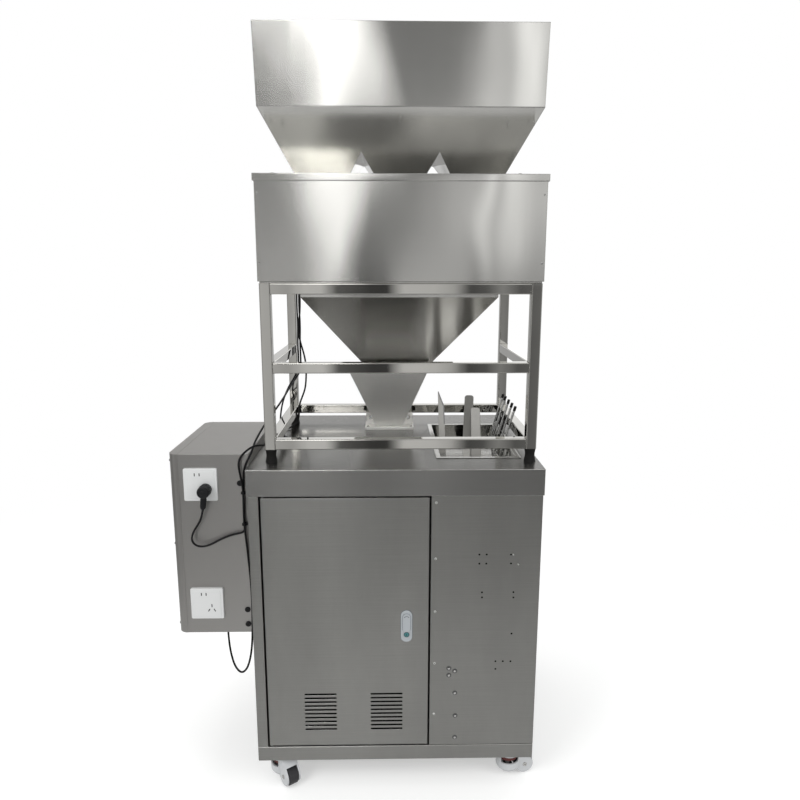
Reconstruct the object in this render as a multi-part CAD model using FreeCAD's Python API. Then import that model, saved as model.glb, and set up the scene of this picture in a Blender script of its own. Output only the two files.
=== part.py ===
import FreeCAD, Part
import math
import os

from FreeCAD import Placement, Rotation, Vector

os.makedirs("parts", exist_ok=True)

# Lengths are in millimetres. While the pieces are made, x = 0 is the middle of the cabinet,
# y = 0 is the face of the cabinet with the door and z = 0 is the floor.

# Cabinet
CABINET_WIDTH = 748.0
CABINET_DEPTH = 644.0
BASE_BOTTOM = 85.0
BODY_HEIGHT = 821.0
BASE_HEIGHT = 41.4
BASE_RETURN = 100.0
CABINET_SHEET = 2.0
STILE_WIDTH = 27.5
STILE_LIP = 18.0
SIDE_RETURN = 32.0
BACK_RETURN = 30.0
POST_WIDTH = 44.0
POST_DEPTH = 30.0
HEADER_DEPTH = 30.0
PANEL_SEAM = 1.6

# Door
DOOR_WIDTH = 427.0
DOOR_GAP = 5.0
DOOR_SHEET = 2.0
DOOR_DEPTH = 18.0
HINGE_INSET = 5.0
HINGE_PIN_RADIUS = 2.5
HINGE_PIN_REACH = 9.0
PIN_CLEARANCE = 0.3

# Vent slots, measured from the door's edges
VENT_SLOTS = 10
VENT_SLOT_LENGTH = 86.0
VENT_SLOT_HEIGHT = 5.0
VENT_SLOT_PITCH = 11.6
VENT_RISE = 100.6
VENT_INSETS = (140.0, 316.5)

# Oval lock, measured from the door's closing edge and foot
LOCK_INSET = 57.5
LOCK_RISE = 350.1
LOCK_WIDTH = 30.0
LOCK_HEIGHT = 89.0
LOCK_PROUD = 3.0
LOCK_BODY_WIDTH = 22.0
LOCK_BODY_HEIGHT = 74.0
LOCK_BODY_DEPTH = 14.0
LOCK_CLEARANCE = 0.3
LOCK_BUTTON_WIDTH = 20.0
LOCK_BUTTON_LENGTH = 52.0
LOCK_BUTTON_LIFT = 10.0
LOCK_BUTTON_PROUD = 2.0
KEY_RADIUS = 7.5
KEY_DROP = 22.0

# Countertop
TOP_SHEET = 2.0
TOP_SKIRT = 69.0
TOP_CLEARANCE = 0.5
PORT_X = -13.0
PORT_Y = 258.0
PORT_WIDTH = 188.0
PORT_DEPTH = 120.0
PORT_CORNER = 34.0
CABLE_HOLE_X = -328.0
CABLE_HOLE_Y = 334.0

# Levelling casters
CASTER_INSET = 56.0
CASTER_HEADINGS = {"front_left": -55.0, "front_right": 12.0, "back_left": 150.0, "back_right": 68.0}
CASTER_PLATE = 73.0
CASTER_PLATE_THICKNESS = 4.0
CASTER_PLATE_CORNER = 8.0
CASTER_BEARING_GAP = 0.4
CASTER_SPIGOT_RADIUS = 8.0
BOWL_RADIUS = 33.0
BOWL_WALL = 4.0
BOWL_BOTTOM = 14.0
BOWL_MOUTH_RADIUS = 16.5
BOWL_ROUND = 15.0
WINDOW_BOTTOM = 44.0
WINDOW_TOP = 64.0
WINDOW_FROM = -27.0
WINDOW_TO = 22.0
WINDOW_INSET = 14.0
WHEEL_RADIUS = 27.0
WHEEL_WIDTH = 28.0
WHEEL_TRAIL = 44.0
WHEEL_SIDE_GAP = 1.5
WHEEL_BOWL_GAP = 3.0
WHEEL_ROUND = 4.0
WHEEL_DISH_RADIUS = 18.0
WHEEL_DISH_DEPTH = 3.0
HUB_RADIUS = 9.0
AXLE_RADIUS = 4.0
AXLE_CLEARANCE = 0.3
CHEEK_THICKNESS = 5.0
CHEEK_MARGIN = 2.5
CHEEK_HEEL = 6.0
THUMBWHEEL_RADIUS = 27.0
THUMBWHEEL_HEIGHT = 12.0
THUMBWHEEL_DROP = 1.5
STEM_RADIUS = 6.0
PAD_RADIUS = 14.0
PAD_BOTTOM = 11.0
PAD_HEIGHT = 13.0
PAD_ROUND = 2.0

# Square tube frame on the countertop
TOWER_X = 14.5
TUBE = 27.0
TUBE_WALL = 1.5
TUBE_ROUND = 2.5
FRAME_WIDTH = 701.0
FRAME_DEPTH = 480.0
FRAME_FRONT = 61.5
LEG_LENGTH = 422.6
MIDDLE_RAIL_DROP = 197.4
FOOT_HEIGHT = 35.6
FOOT_TOP_RADIUS = 15.0
FOOT_WAIST_RADIUS = 12.5
FOOT_BASE_RADIUS = 15.5

# Feeder housing
HOUSING_OVERHANG = 2.5
HOUSING_HEIGHT = 252.0
HOUSING_SHEET = 2.0
BASE_PLATE_INSET = 4.0
BASE_PLATE_THICKNESS = 4.3
LID_SHEET = 2.0
LID_SKIRT = 17.0
LID_SKIRT_SHEET = 3.0
LID_CLEARANCE = 0.5

# Feed hopper
HOPPER_SHEET = 2.0
HOPPER_RIM_WIDTH = 703.0
HOPPER_RIM_DEPTH = 415.0
HOPPER_CREASE_WIDTH = 695.0
HOPPER_CREASE_DEPTH = 405.0
HOPPER_MOUTH_WIDTH = 534.0
HOPPER_MOUTH_DEPTH = 135.0
HOPPER_BAND_HEIGHT = 187.0
HOPPER_TAPER_HEIGHT = 156.0
SPOUT_NOTCH_SPACING = 200.0
SPOUT_NOTCH_WIDTH = 84.0
SPOUT_NOTCH_HEIGHT = 66.0
SPOUT_COLLAR_ABOVE = 3.5
SPOUT_COLLAR_BELOW = 16.0
SPOUT_CLEARANCE = 0.3

# Collecting cone, its sideways places measured from the tower's middle
CONE_SHEET = 2.0
CONE_WIDTH = 502.0
CONE_SHIFT = -3.5
CONE_DEPTH = 404.0
CONE_BACK_GAP = 10.5
CONE_COLLAR = 35.2
CONE_HEIGHT = 223.0
CONE_OUTLET_WIDTH = 191.0
CONE_OUTLET_SHIFT = -6.0
CONE_OUTLET_DEPTH = 68.0
CONE_OUTLET_SETBACK = 6.0

# Lower funnel and its flange, measured the same way
FUNNEL_SHEET = 2.0
FUNNEL_WIDTH = 249.0
FUNNEL_SHIFT = -32.0
FUNNEL_DEPTH = 109.0
FUNNEL_BACK_GAP = 7.5
FUNNEL_OUTLET_WIDTH = 83.0
FUNNEL_OUTLET_SHIFT = -29.0
FUNNEL_OUTLET_DEPTH = 58.0
FUNNEL_OUTLET_SETBACK = 2.0
FLANGE_WIDTH = 152.0
FLANGE_DEPTH = 102.0
FLANGE_MARGIN = 20.0
FLANGE_HEIGHT = 9.0
FLANGE_SHEET = 2.0
EAR_WIDTH = 30.0
EAR_HEIGHT = 36.0
EAR_SHEET = 3.0
EAR_SPACING = 118.0
EAR_SETBACK = 40.0
EAR_HOLE_RADIUS = 4.5
EAR_HOLE_DROP = 13.0
EAR_GAP = 0.4

# Tool tray let into the countertop, its right edge measured from the frame's side rail
TRAY_WIDTH = 201.0
TRAY_RAIL_GAP = 16.0
TRAY_FRONT_GAP = 50.5
TRAY_BACK_GAP = 24.5
TRAY_DEPTH = 41.0
TRAY_SHEET = 1.5
TRAY_RIM = 13.0
TRAY_FIT = 0.4

# Flat tools: the blade and the short bar lean on the low back rail, the long bar on the short one
TOOL_GAP = 0.3
BAR_WIDTH = 29.0
BAR_THICKNESS = 4.0
BAR_CORNER = 10.0
LONG_BAR_LENGTH = 262.0
LONG_BAR_SHIFT = 21.5
LONG_BAR_SLANT = 27.0
LONG_BAR_REST = 162.0
LONG_BAR_GAP = 1.8
SHORT_BAR_LENGTH = 226.0
SHORT_BAR_PLACE = 101.0
SHORT_BAR_SLANT = 22.0
SHORT_BAR_RUN = 154.0
BLADE_WIDTH = 19.0
BLADE_THICKNESS = 2.0
BLADE_LENGTH = 330.0
BLADE_TIP_LENGTH = 84.0
BLADE_PLACE = 19.5
BLADE_SLANT = 13.0
BLADE_RUN = 234.0

# Rods leaning on the low right rail, placed along the tray from its front edge
ROD_RADIUS = 3.3
ROD_CAP_RADIUS = 3.9
LONG_ROD_LENGTH = 152.0
LONG_ROD_CAP = 14.0
LONG_ROD_PLACES = (151.0, 201.0, 254.5, 311.0, 352.5)
LONG_ROD_RUN = 29.0
SHORT_ROD_LENGTH = 92.0
SHORT_ROD_CAP = 26.0
SHORT_ROD_PLACES = (283.0, 332.0)
SHORT_ROD_RUN = 31.0

# Electrical box on the cabinet's left side, its top measured from the countertop
BOX_WIDTH = 207.0
BOX_DEPTH = 375.0
BOX_HEIGHT = 496.5
BOX_FRONT = 50.0
BOX_RISE = 28.0
BOX_SKIRT_GAP = 0.5
BOX_EDGE_ROUND = 24.0
BOX_COVER_DEPTH = 26.0
BOX_STRIP_WIDTH = 30.0
BOX_STRIP_MARGIN = 40.0

# Wall sockets on the electrical box, measured from its right and upper edges
SOCKET_SIZE = 86.0
SOCKET_PROUD = 8.0
SOCKET_CORNER = 4.0
SOCKET_EDGE_ROUND = 1.5
SOCKET_INSET = 124.0
UPPER_SOCKET_DROP = 79.3
LOWER_SOCKET_DROP = 409.0

# Cable entries: bushes on the front of the electrical box, a gland under it, a grommet in the countertop
BUSH_RADIUS = 7.0
BUSH_PROUD = 2.5
BUSH_PLACES = ((24.5, 77.4), (19.0, 430.3), (19.0, 472.3))
GLAND_RADIUS = 7.0
GLAND_PROUD = 12.0
LOW_GLAND_INSET = 90.0
LOW_GLAND_SETBACK = 60.0
GROMMET_RADIUS = 9.0
GROMMET_NECK_RADIUS = 6.0
GROMMET_PROUD = 2.5
GROMMET_DEPTH = 6.0

# Plug in the upper socket, measured from the socket's middle
PLUG_RADIUS = 15.5
PLUG_LENGTH = 34.0
PLUG_ROUND = 5.0
PLUG_SHIFT = 13.5
PLUG_DROP = 11.2
RELIEF_TOP_RADIUS = 8.0
RELIEF_BOTTOM_RADIUS = 6.5
RELIEF_LENGTH = 46.0
RELIEF_LEAN = -5.5

# Free cords: diameters, and routes whose points stay as chosen
CORD_DIAMETER = 5.5
BRANCH_DIAMETER = 5.0
POWER_CORD_ROUTE = [
    (-493.0, 25.0, 799.6), (-497.0, 25.3, 774.0), (-512.0, 27.0, 750.0), (-525.0, 30.0, 729.0),
    (-529.0, 33.0, 708.0), (-519.0, 36.0, 693.5), (-501.0, 38.0, 690.0), (-481.0, 40.0, 695.5),
    (-456.0, 42.0, 709.0), (-430.0, 43.5, 719.5), (-409.0, 44.5, 724.0), (-399.0, 45.0, 726.0),
    (-393.5, 45.0, 732.0), (-393.5, 45.0, 744.0), (-394.2, 45.0, 768.0), (-393.8, 45.0, 802.0),
    (-392.5, 45.0, 838.0), (-391.0, 45.0, 868.0), (-389.0, 45.0, 893.0), (-383.5, 44.5, 911.0),
    (-375.0, 44.0, 927.0), (-368.5, 52.0, 940.0), (-368.5, 75.0, 950.0), (-366.5, 112.0, 962.0),
    (-359.0, 168.0, 979.0), (-349.0, 226.0, 996.0), (-338.0, 282.0, 1011.0), (-328.5, 338.0, 1027.0),
    (-321.0, 394.0, 1043.5), (-313.0, 448.0, 1059.0), (-304.0, 490.0, 1071.0), (-298.0, 507.5, 1091.0),
    (-296.5, 511.0, 1122.0), (-298.0, 511.0, 1172.0), (-295.5, 511.0, 1230.0), (-298.0, 511.0, 1288.0),
    (-297.0, 511.0, 1334.0), (-297.0, 511.0, 1366.2),
]
CONTROL_CORD_ROUTE = [
    (-467.0, 110.0, 427.5), (-467.0, 110.0, 403.0), (-464.0, 105.0, 370.0), (-458.0, 98.0, 340.0),
    (-446.0, 85.0, 314.0), (-426.0, 69.0, 304.0), (-407.0, 56.0, 325.0), (-394.5, 48.0, 362.0),
    (-387.0, 44.5, 408.0), (-383.5, 43.5, 468.0), (-382.0, 43.5, 532.0), (-383.0, 43.0, 592.0),
    (-386.0, 42.0, 648.0), (-389.0, 40.5, 696.0), (-391.5, 39.0, 732.0), (-393.0, 39.0, 768.0),
    (-392.0, 39.0, 806.0), (-391.5, 39.0, 842.0), (-394.5, 38.5, 868.0), (-398.5, 38.0, 893.0),
    (-400.5, 38.0, 912.0), (-396.5, 39.0, 929.0), (-384.5, 44.0, 943.0), (-367.0, 60.0, 954.0),
    (-352.0, 84.0, 950.0), (-343.5, 119.0, 942.0), (-341.5, 166.0, 930.0), (-344.0, 226.0, 917.0),
    (-350.5, 287.0, 911.5), (-355.0, 342.0, 910.9), (-351.0, 388.0, 910.9), (-337.0, 425.0, 911.0),
    (-320.0, 455.0, 914.0), (-309.0, 476.0, 922.0), (-304.5, 490.0, 938.0), (-304.5, 500.0, 958.0),
    (-302.5, 505.0, 980.0), (-293.0, 505.0, 1003.0), (-284.5, 505.0, 1026.0), (-281.0, 505.0, 1052.0),
    (-279.5, 505.0, 1084.0), (-281.0, 504.8, 1116.0), (-287.0, 504.8, 1145.0), (-295.5, 504.8, 1175.0),
    (-301.0, 504.8, 1206.0), (-299.0, 504.8, 1238.0), (-294.5, 504.8, 1270.0), (-293.0, 504.8, 1316.0),
    (-293.0, 504.8, 1366.2),
]
BRANCH_CORD_ROUTE = [
    (-328.0, 334.0, 896.0), (-328.0, 334.0, 914.0), (-333.0, 337.5, 928.0), (-340.5, 346.0, 941.0),
    (-343.0, 360.0, 958.0), (-343.5, 376.0, 975.0), (-343.0, 399.0, 994.0), (-338.0, 426.0, 1018.0),
    (-328.5, 456.0, 1044.0), (-316.0, 486.0, 1064.0), (-306.5, 506.0, 1088.0), (-303.0, 511.0, 1120.0),
    (-305.0, 511.0, 1172.0), (-302.3, 511.0, 1230.0), (-304.6, 511.0, 1288.0), (-303.5, 511.0, 1334.0),
    (-303.5, 511.0, 1366.2),
]
ARC_SHARE = 0.45

# Ties round the two cords that run up beside the electrical box: middle of each, in place
TIE_PLACES = [(-392.0, 42.0, 833.0), (-392.6, 42.0, 748.0)]
TIE_WIDTH = 11.5
TIE_DEPTH = 14.8
TIE_HEIGHT = 5.0
TIE_BAND = 1.2
TIE_HEAD = 6.0


def box(x0, x1, y0, y1, z0, z1):
    """Block between the given limits."""
    return Part.makeBox(x1 - x0, y1 - y0, z1 - z0, Vector(x0, y0, z0))


def fuse(shapes):
    """One solid from shapes that meet or overlap."""
    joined = shapes[0]
    for shape in shapes[1:]:
        joined = joined.fuse(shape)
    return joined.removeSplitter()


def group(shapes):
    """Like pieces that don't touch, kept as separate solids."""
    return Part.makeCompound(shapes)


def taper(low, low_z, high, high_z):
    """Four-sided solid between two level rectangles, each given as x0, x1, y0, y1."""
    rings = []
    for (x0, x1, y0, y1), z in ((low, low_z), (high, high_z)):
        rings.append([Vector(x0, y0, z), Vector(x1, y0, z), Vector(x1, y1, z), Vector(x0, y1, z)])
    outlines = [rings[0], rings[1]]
    for n in range(4):
        m = (n + 1) % 4
        outlines.append([rings[0][n], rings[0][m], rings[1][m], rings[1][n]])
    faces = [Part.Face(Part.makePolygon(outline + outline[:1])) for outline in outlines]
    solid = Part.Solid(Part.Shell(faces))
    if solid.Volume < 0:
        solid.reverse()
    return solid


def inset(limits, amount):
    """Rectangle limits drawn in by an amount on every side."""
    x0, x1, y0, y1 = limits
    return x0 + amount, x1 - amount, y0 + amount, y1 - amount


def between(low, low_z, high, high_z, z):
    """Rectangle limits at height z on the straight sides through two rectangles."""
    share = (z - low_z) / (high_z - low_z)
    return tuple(a + (b - a) * share for a, b in zip(low, high))


def open_taper(low, low_z, high, high_z, sheet):
    """Thin-walled taper, open at both ends."""
    inner_low = inset(low, sheet)
    inner_high = inset(high, sheet)
    under = between(inner_low, low_z, inner_high, high_z, low_z - sheet)
    over = between(inner_low, low_z, inner_high, high_z, high_z + sheet)
    return taper(low, low_z, high, high_z).cut(taper(under, low_z - sheet, over, high_z + sheet))


def rounded_plate(x0, x1, y0, y1, z0, z1, corner):
    """Level plate with rounded corners."""
    plate = box(x0, x1, y0, y1, z0, z1)
    upright = [e for e in plate.Edges if abs(e.Vertexes[0].Z - e.Vertexes[1].Z) > 0.5 * (z1 - z0)]
    return plate.makeFillet(corner, upright)


def stadium(width, height, y0, y1):
    """Upright oval slab about the origin, with half-round ends."""
    radius = width / 2.0
    straight = height / 2.0 - radius
    ends = [
        Part.makeCylinder(radius, y1 - y0, Vector(0, y0, z), Vector(0, 1, 0))
        for z in (-straight, straight)
    ]
    return fuse([box(-radius, radius, y0, y1, -straight, straight)] + ends)


def moved(shape, x, y, z, turn=0.0):
    """Copy of a shape turned about its upright axis and put in its place."""
    copy = shape.copy()
    copy.Placement = Placement(Vector(x, y, z), Rotation(Vector(0, 0, 1), turn)).multiply(copy.Placement)
    return copy


def leaning(shape, foot, top):
    """Copy of a shape that runs up +Z from the origin, laid from foot to top with its X axis level."""
    copy = shape.copy()
    run = top.sub(foot)
    level = Vector(run.y, -run.x, 0)
    turn = Rotation(level, run.cross(level), run, "ZXY")
    copy.Placement = Placement(foot, turn).multiply(copy.Placement)
    return copy


# Limits that several pieces share
half = CABINET_WIDTH / 2.0
base_top = BASE_BOTTOM + BASE_HEIGHT
body_top = BASE_BOTTOM + BODY_HEIGHT
top_height = body_top + TOP_SHEET
skirt_bottom = top_height - TOP_SKIRT
door_left = -half + STILE_WIDTH + DOOR_GAP
door_right = door_left + DOOR_WIDTH
door_bottom = base_top + DOOR_GAP
door_top = skirt_bottom - DOOR_GAP
panel_left = door_right + DOOR_GAP
hinge_x = door_left + HINGE_INSET
hinge_y = HINGE_INSET
lock_x = door_right - LOCK_INSET
lock_z = door_bottom + LOCK_RISE


def cabinet_base():
    """Folded base with a deck on top and a return flange below that takes the casters."""
    s = CABINET_SHEET
    block = box(-half, half, 0, CABINET_DEPTH, BASE_BOTTOM, base_top)
    hollow = box(-half + s, half - s, s, CABINET_DEPTH - s, BASE_BOTTOM + s, base_top - s)
    mouth = box(
        -half + BASE_RETURN, half - BASE_RETURN, BASE_RETURN, CABINET_DEPTH - BASE_RETURN,
        BASE_BOTTOM - s, BASE_BOTTOM + s,
    )
    return block.cut(hollow).cut(mouth)


def cabinet_left_side():
    """Side sheet with the front stile and the back return folded on to it."""
    s = CABINET_SHEET
    return fuse([
        box(-half, -half + s, 0, CABINET_DEPTH - s, base_top, body_top),
        box(-half, -half + STILE_WIDTH, 0, s, base_top, body_top),
        box(-half + STILE_WIDTH - s, -half + STILE_WIDTH, 0, STILE_LIP, base_top, body_top),
        box(-half, -half + BACK_RETURN, CABINET_DEPTH - 2 * s, CABINET_DEPTH - s, base_top, body_top),
    ])


def cabinet_right_side():
    """Side sheet with a return behind the fixed front panel and one behind the back panel."""
    s = CABINET_SHEET
    return fuse([
        box(half - s, half, s, CABINET_DEPTH - s, base_top, body_top),
        box(half - SIDE_RETURN, half, s, 2 * s, base_top, body_top),
        box(half - BACK_RETURN, half, CABINET_DEPTH - 2 * s, CABINET_DEPTH - s, base_top, body_top),
    ])


def cabinet_back():
    """Flat back panel over the returns of both sides."""
    return box(-half, half, CABINET_DEPTH - CABINET_SHEET, CABINET_DEPTH, base_top, body_top)


def centre_post():
    """Channel behind the closing edge of the door, which carries the fixed panel."""
    s = CABINET_SHEET
    x0 = panel_left + s
    outer = box(x0, x0 + POST_WIDTH, s, s + POST_DEPTH, base_top, skirt_bottom)
    inner = box(x0 + s, x0 + POST_WIDTH - s, 2 * s, s + POST_DEPTH + s, base_top, skirt_bottom)
    return outer.cut(inner)


def header():
    """Channel across the front, behind the skirt of the countertop."""
    s = CABINET_SHEET
    x0 = -half + STILE_WIDTH
    x1 = half - SIDE_RETURN
    outer = box(x0, x1, 0, HEADER_DEPTH, skirt_bottom, body_top)
    inner = box(x0, x1, s, HEADER_DEPTH + s, skirt_bottom + s, body_top - s)
    return outer.cut(inner)


def front_panel():
    """Fixed sheet beside the door, out to the cabinet's right edge."""
    return box(panel_left, half, 0, CABINET_SHEET, base_top + PANEL_SEAM, skirt_bottom)


def vent_slot(x, z):
    """Cutter for one slot with half-round ends, through the sheet of the door."""
    radius = VENT_SLOT_HEIGHT / 2.0
    straight = VENT_SLOT_LENGTH / 2.0 - radius
    cutter = [box(x - straight, x + straight, -DOOR_SHEET, 2 * DOOR_SHEET, z - radius, z + radius)]
    for end in (-straight, straight):
        cutter.append(
            Part.makeCylinder(radius, 3 * DOOR_SHEET, Vector(x + end, -DOOR_SHEET, z), Vector(0, 1, 0))
        )
    return fuse(cutter)


def door_panel():
    """Folded door, open at the back, with two vents, the lock's cut-out and holes for its pivots."""
    s = DOOR_SHEET
    door = box(door_left, door_right, 0, DOOR_DEPTH, door_bottom, door_top)
    door = door.cut(box(door_left + s, door_right - s, s, DOOR_DEPTH + s, door_bottom + s, door_top - s))
    first = door_bottom + VENT_RISE - VENT_SLOT_PITCH * (VENT_SLOTS - 1) / 2.0
    slots = [
        vent_slot(door_left + inset_x, first + VENT_SLOT_PITCH * n)
        for inset_x in VENT_INSETS
        for n in range(VENT_SLOTS)
    ]
    c = 2 * LOCK_CLEARANCE
    lock_hole = stadium(LOCK_BODY_WIDTH + c, LOCK_BODY_HEIGHT + c, -s, 3 * s)
    pivot_hole = Part.makeCylinder(
        HINGE_PIN_RADIUS + PIN_CLEARANCE, door_top - door_bottom + 2 * s,
        Vector(hinge_x, hinge_y, door_bottom - s)
    )
    return door.cut(Part.makeCompound(slots)).cut(moved(lock_hole, lock_x, 0, lock_z)).cut(pivot_hole)


def door_lock():
    """Oval lock: a bezel on the door's face, its body behind and a raised push button with a key."""
    bezel = stadium(LOCK_WIDTH, LOCK_HEIGHT, -LOCK_PROUD, 0)
    front = [e for e in bezel.Edges if e.BoundBox.YMax < -LOCK_PROUD * 0.9]
    bezel = bezel.makeFillet(LOCK_PROUD * 0.6, front)
    body = stadium(LOCK_BODY_WIDTH, LOCK_BODY_HEIGHT, 0, LOCK_BODY_DEPTH)
    button = stadium(LOCK_BUTTON_WIDTH, LOCK_BUTTON_LENGTH, -LOCK_PROUD - LOCK_BUTTON_PROUD, 0)
    button.translate(Vector(0, 0, LOCK_BUTTON_LIFT))
    key = Part.makeCylinder(
        KEY_RADIUS, LOCK_PROUD + LOCK_BUTTON_PROUD, Vector(0, 0, -KEY_DROP), Vector(0, -1, 0)
    )
    return moved(fuse([bezel, body, button, key]), lock_x, 0, lock_z)


def hinge_pins():
    """Pivot pins of the door, one standing on the base and one hanging from the header."""
    low = Part.makeCylinder(
        HINGE_PIN_RADIUS, DOOR_GAP + HINGE_PIN_REACH, Vector(hinge_x, hinge_y, base_top)
    )
    high = Part.makeCylinder(
        HINGE_PIN_RADIUS, DOOR_GAP + HINGE_PIN_REACH, Vector(hinge_x, hinge_y, door_top - HINGE_PIN_REACH)
    )
    return group([low, high])


def caster_places():
    """Name, x, y and heading of each caster."""
    x = half - CASTER_INSET
    places = {
        "front_left": (-x, CASTER_INSET),
        "front_right": (x, CASTER_INSET),
        "back_left": (-x, CABINET_DEPTH - CASTER_INSET),
        "back_right": (x, CABINET_DEPTH - CASTER_INSET),
    }
    return [(name, x, y, CASTER_HEADINGS[name]) for name, (x, y) in places.items()]


plate_bottom = BASE_BOTTOM - CASTER_PLATE_THICKNESS
caster_head_top = plate_bottom - CASTER_BEARING_GAP
wheel_middle = Vector(WHEEL_TRAIL, 0, WHEEL_RADIUS)
cheek_y = WHEEL_WIDTH / 2.0 + WHEEL_SIDE_GAP
cheek_radius = WHEEL_RADIUS - CHEEK_MARGIN


def across(radius, width, middle):
    """Cylinder along Y about a middle point."""
    start = Vector(middle.x, middle.y - width / 2.0, middle.z)
    return Part.makeCylinder(radius, width, start, Vector(0, 1, 0))


def caster_plate():
    """Fixing plate with the spigot that the caster turns on."""
    side = CASTER_PLATE / 2.0
    plate = rounded_plate(-side, side, -side, side, plate_bottom, BASE_BOTTOM, CASTER_PLATE_CORNER)
    spigot_bottom = WINDOW_TOP + CASTER_BEARING_GAP
    spigot = Part.makeCylinder(
        CASTER_SPIGOT_RADIUS, plate_bottom - spigot_bottom, Vector(0, 0, spigot_bottom)
    )
    return fuse([plate, spigot])


def caster_fork():
    """Fork in the rough: discs that cover the wheel's sides, and a crown that joins them to the bowl."""
    width = 2 * (cheek_y + CHEEK_THICKNESS)
    heel = cheek_radius * math.sin(math.radians(45))
    y = -width / 2.0
    outline = Part.makePolygon([
        Vector(CHEEK_HEEL, y, caster_head_top - 1.0),
        Vector(CHEEK_HEEL, y, BOWL_BOTTOM + BOWL_ROUND),
        Vector(WHEEL_TRAIL - heel, y, WHEEL_RADIUS - heel),
        Vector(WHEEL_TRAIL + heel, y, WHEEL_RADIUS + heel),
        Vector(WHEEL_TRAIL - CHEEK_HEEL, y, caster_head_top - 1.0),
        Vector(CHEEK_HEEL, y, caster_head_top - 1.0),
    ])
    web = Part.Face(outline).extrude(Vector(0, width, 0))
    return across(cheek_radius, width, wheel_middle).fuse(web)


def caster_housing():
    """Cast bowl over the levelling screw, open below and at its two windows, with the wheel's fork."""
    bowl = Part.makeCylinder(BOWL_RADIUS, caster_head_top - BOWL_BOTTOM, Vector(0, 0, BOWL_BOTTOM))
    bowl = bowl.makeFillet(BOWL_ROUND, [e for e in bowl.Edges if e.BoundBox.ZMax < BOWL_BOTTOM + 1.0])
    body = bowl.fuse(caster_fork())
    cavity_bottom = BOWL_BOTTOM + BOWL_ROUND
    cutters = [
        Part.makeCylinder(BOWL_RADIUS - BOWL_WALL, WINDOW_TOP - cavity_bottom, Vector(0, 0, cavity_bottom)),
        Part.makeCylinder(BOWL_MOUTH_RADIUS, BOWL_ROUND + 2.0, Vector(0, 0, BOWL_BOTTOM - 1.0)),
        across(WHEEL_RADIUS + WHEEL_BOWL_GAP, 2 * cheek_y, wheel_middle),
        Part.makeCylinder(
            CASTER_SPIGOT_RADIUS + PIN_CLEARANCE, caster_head_top, Vector(0, 0, WINDOW_TOP - 1.0)
        ),
    ]
    for y0, y1 in ((WINDOW_INSET, 2 * BOWL_RADIUS), (-2 * BOWL_RADIUS, -WINDOW_INSET)):
        cutters.append(box(WINDOW_FROM, WINDOW_TO, y0, y1, WINDOW_BOTTOM, WINDOW_TOP))
    for cutter in cutters:
        body = body.cut(cutter)
    axle = across(AXLE_RADIUS, 2 * (cheek_y + CHEEK_THICKNESS), wheel_middle)
    return body.fuse(axle).removeSplitter()


def caster_foot():
    """Levelling screw with its thumbwheel in the bowl and its pad wound up into the bowl's mouth."""
    thumbwheel_top = WINDOW_TOP - THUMBWHEEL_DROP
    thumbwheel_z = thumbwheel_top - THUMBWHEEL_HEIGHT
    pad_top = PAD_BOTTOM + PAD_HEIGHT
    pad = Part.makeCylinder(PAD_RADIUS, PAD_HEIGHT, Vector(0, 0, PAD_BOTTOM))
    return fuse([
        pad.makeFillet(PAD_ROUND, [e for e in pad.Edges if e.BoundBox.ZMax < PAD_BOTTOM + 1.0]),
        Part.makeCylinder(STEM_RADIUS, thumbwheel_z - pad_top, Vector(0, 0, pad_top)),
        Part.makeCylinder(THUMBWHEEL_RADIUS, THUMBWHEEL_HEIGHT, Vector(0, 0, thumbwheel_z)),
        Part.makeCylinder(
            STEM_RADIUS, THUMBWHEEL_DROP - CASTER_BEARING_GAP, Vector(0, 0, thumbwheel_top)
        ),
    ])


def caster_wheel():
    """Wheel with rounded tread edges, dished sides, a hub and a clear bore."""
    wheel = across(WHEEL_RADIUS, WHEEL_WIDTH, wheel_middle)
    wheel = wheel.makeFillet(WHEEL_ROUND, [e for e in wheel.Edges if e.Curve.TypeId == "Part::GeomCircle"])
    waist = WHEEL_WIDTH - 2 * WHEEL_DISH_DEPTH
    ring = across(WHEEL_DISH_RADIUS, 2 * WHEEL_WIDTH, wheel_middle)
    ring = ring.cut(across(HUB_RADIUS, 2 * WHEEL_WIDTH, wheel_middle))
    dishes = ring.cut(across(WHEEL_DISH_RADIUS + 1.0, waist, wheel_middle))
    bore = across(AXLE_RADIUS + AXLE_CLEARANCE, 2 * WHEEL_WIDTH, wheel_middle)
    return wheel.cut(dishes).cut(bore)


# Outer limits of the tube frame
frame_left = TOWER_X - FRAME_WIDTH / 2.0
frame_right = TOWER_X + FRAME_WIDTH / 2.0
frame_back = FRAME_FRONT + FRAME_DEPTH
frame_bottom = top_height + FOOT_HEIGHT
frame_top = frame_bottom + LEG_LENGTH
frame_middle_y = FRAME_FRONT + FRAME_DEPTH / 2.0
back_rail_face = frame_back - TUBE
side_rail_face = frame_right - TUBE
low_rail_top = frame_bottom + TUBE
rail_tops = {"low": low_rail_top, "middle": frame_top - MIDDLE_RAIL_DROP, "top": frame_top}


def leg_corners():
    """Lower-left plan corner of each leg."""
    return [
        (x, y)
        for x in (frame_left, frame_right - TUBE)
        for y in (FRAME_FRONT, frame_back - TUBE)
    ]


def tube(length):
    """Square tube with softened edges, standing on the origin's corner."""
    outer = rounded_plate(0, TUBE, 0, TUBE, 0, length, TUBE_ROUND)
    w = TUBE_WALL
    return outer.cut(box(w, TUBE - w, w, TUBE - w, -1.0, length + 1.0))


def frame_legs():
    """Four upright tubes."""
    return group([moved(tube(LEG_LENGTH), x, y, frame_bottom) for x, y in leg_corners()])


def laid_tube(length, start, axis, turn):
    """Tube laid level: turned about an axis through its corner, then moved to its start."""
    rail = tube(length)
    rail.Placement = Placement(start, Rotation(axis, turn))
    return rail


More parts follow.
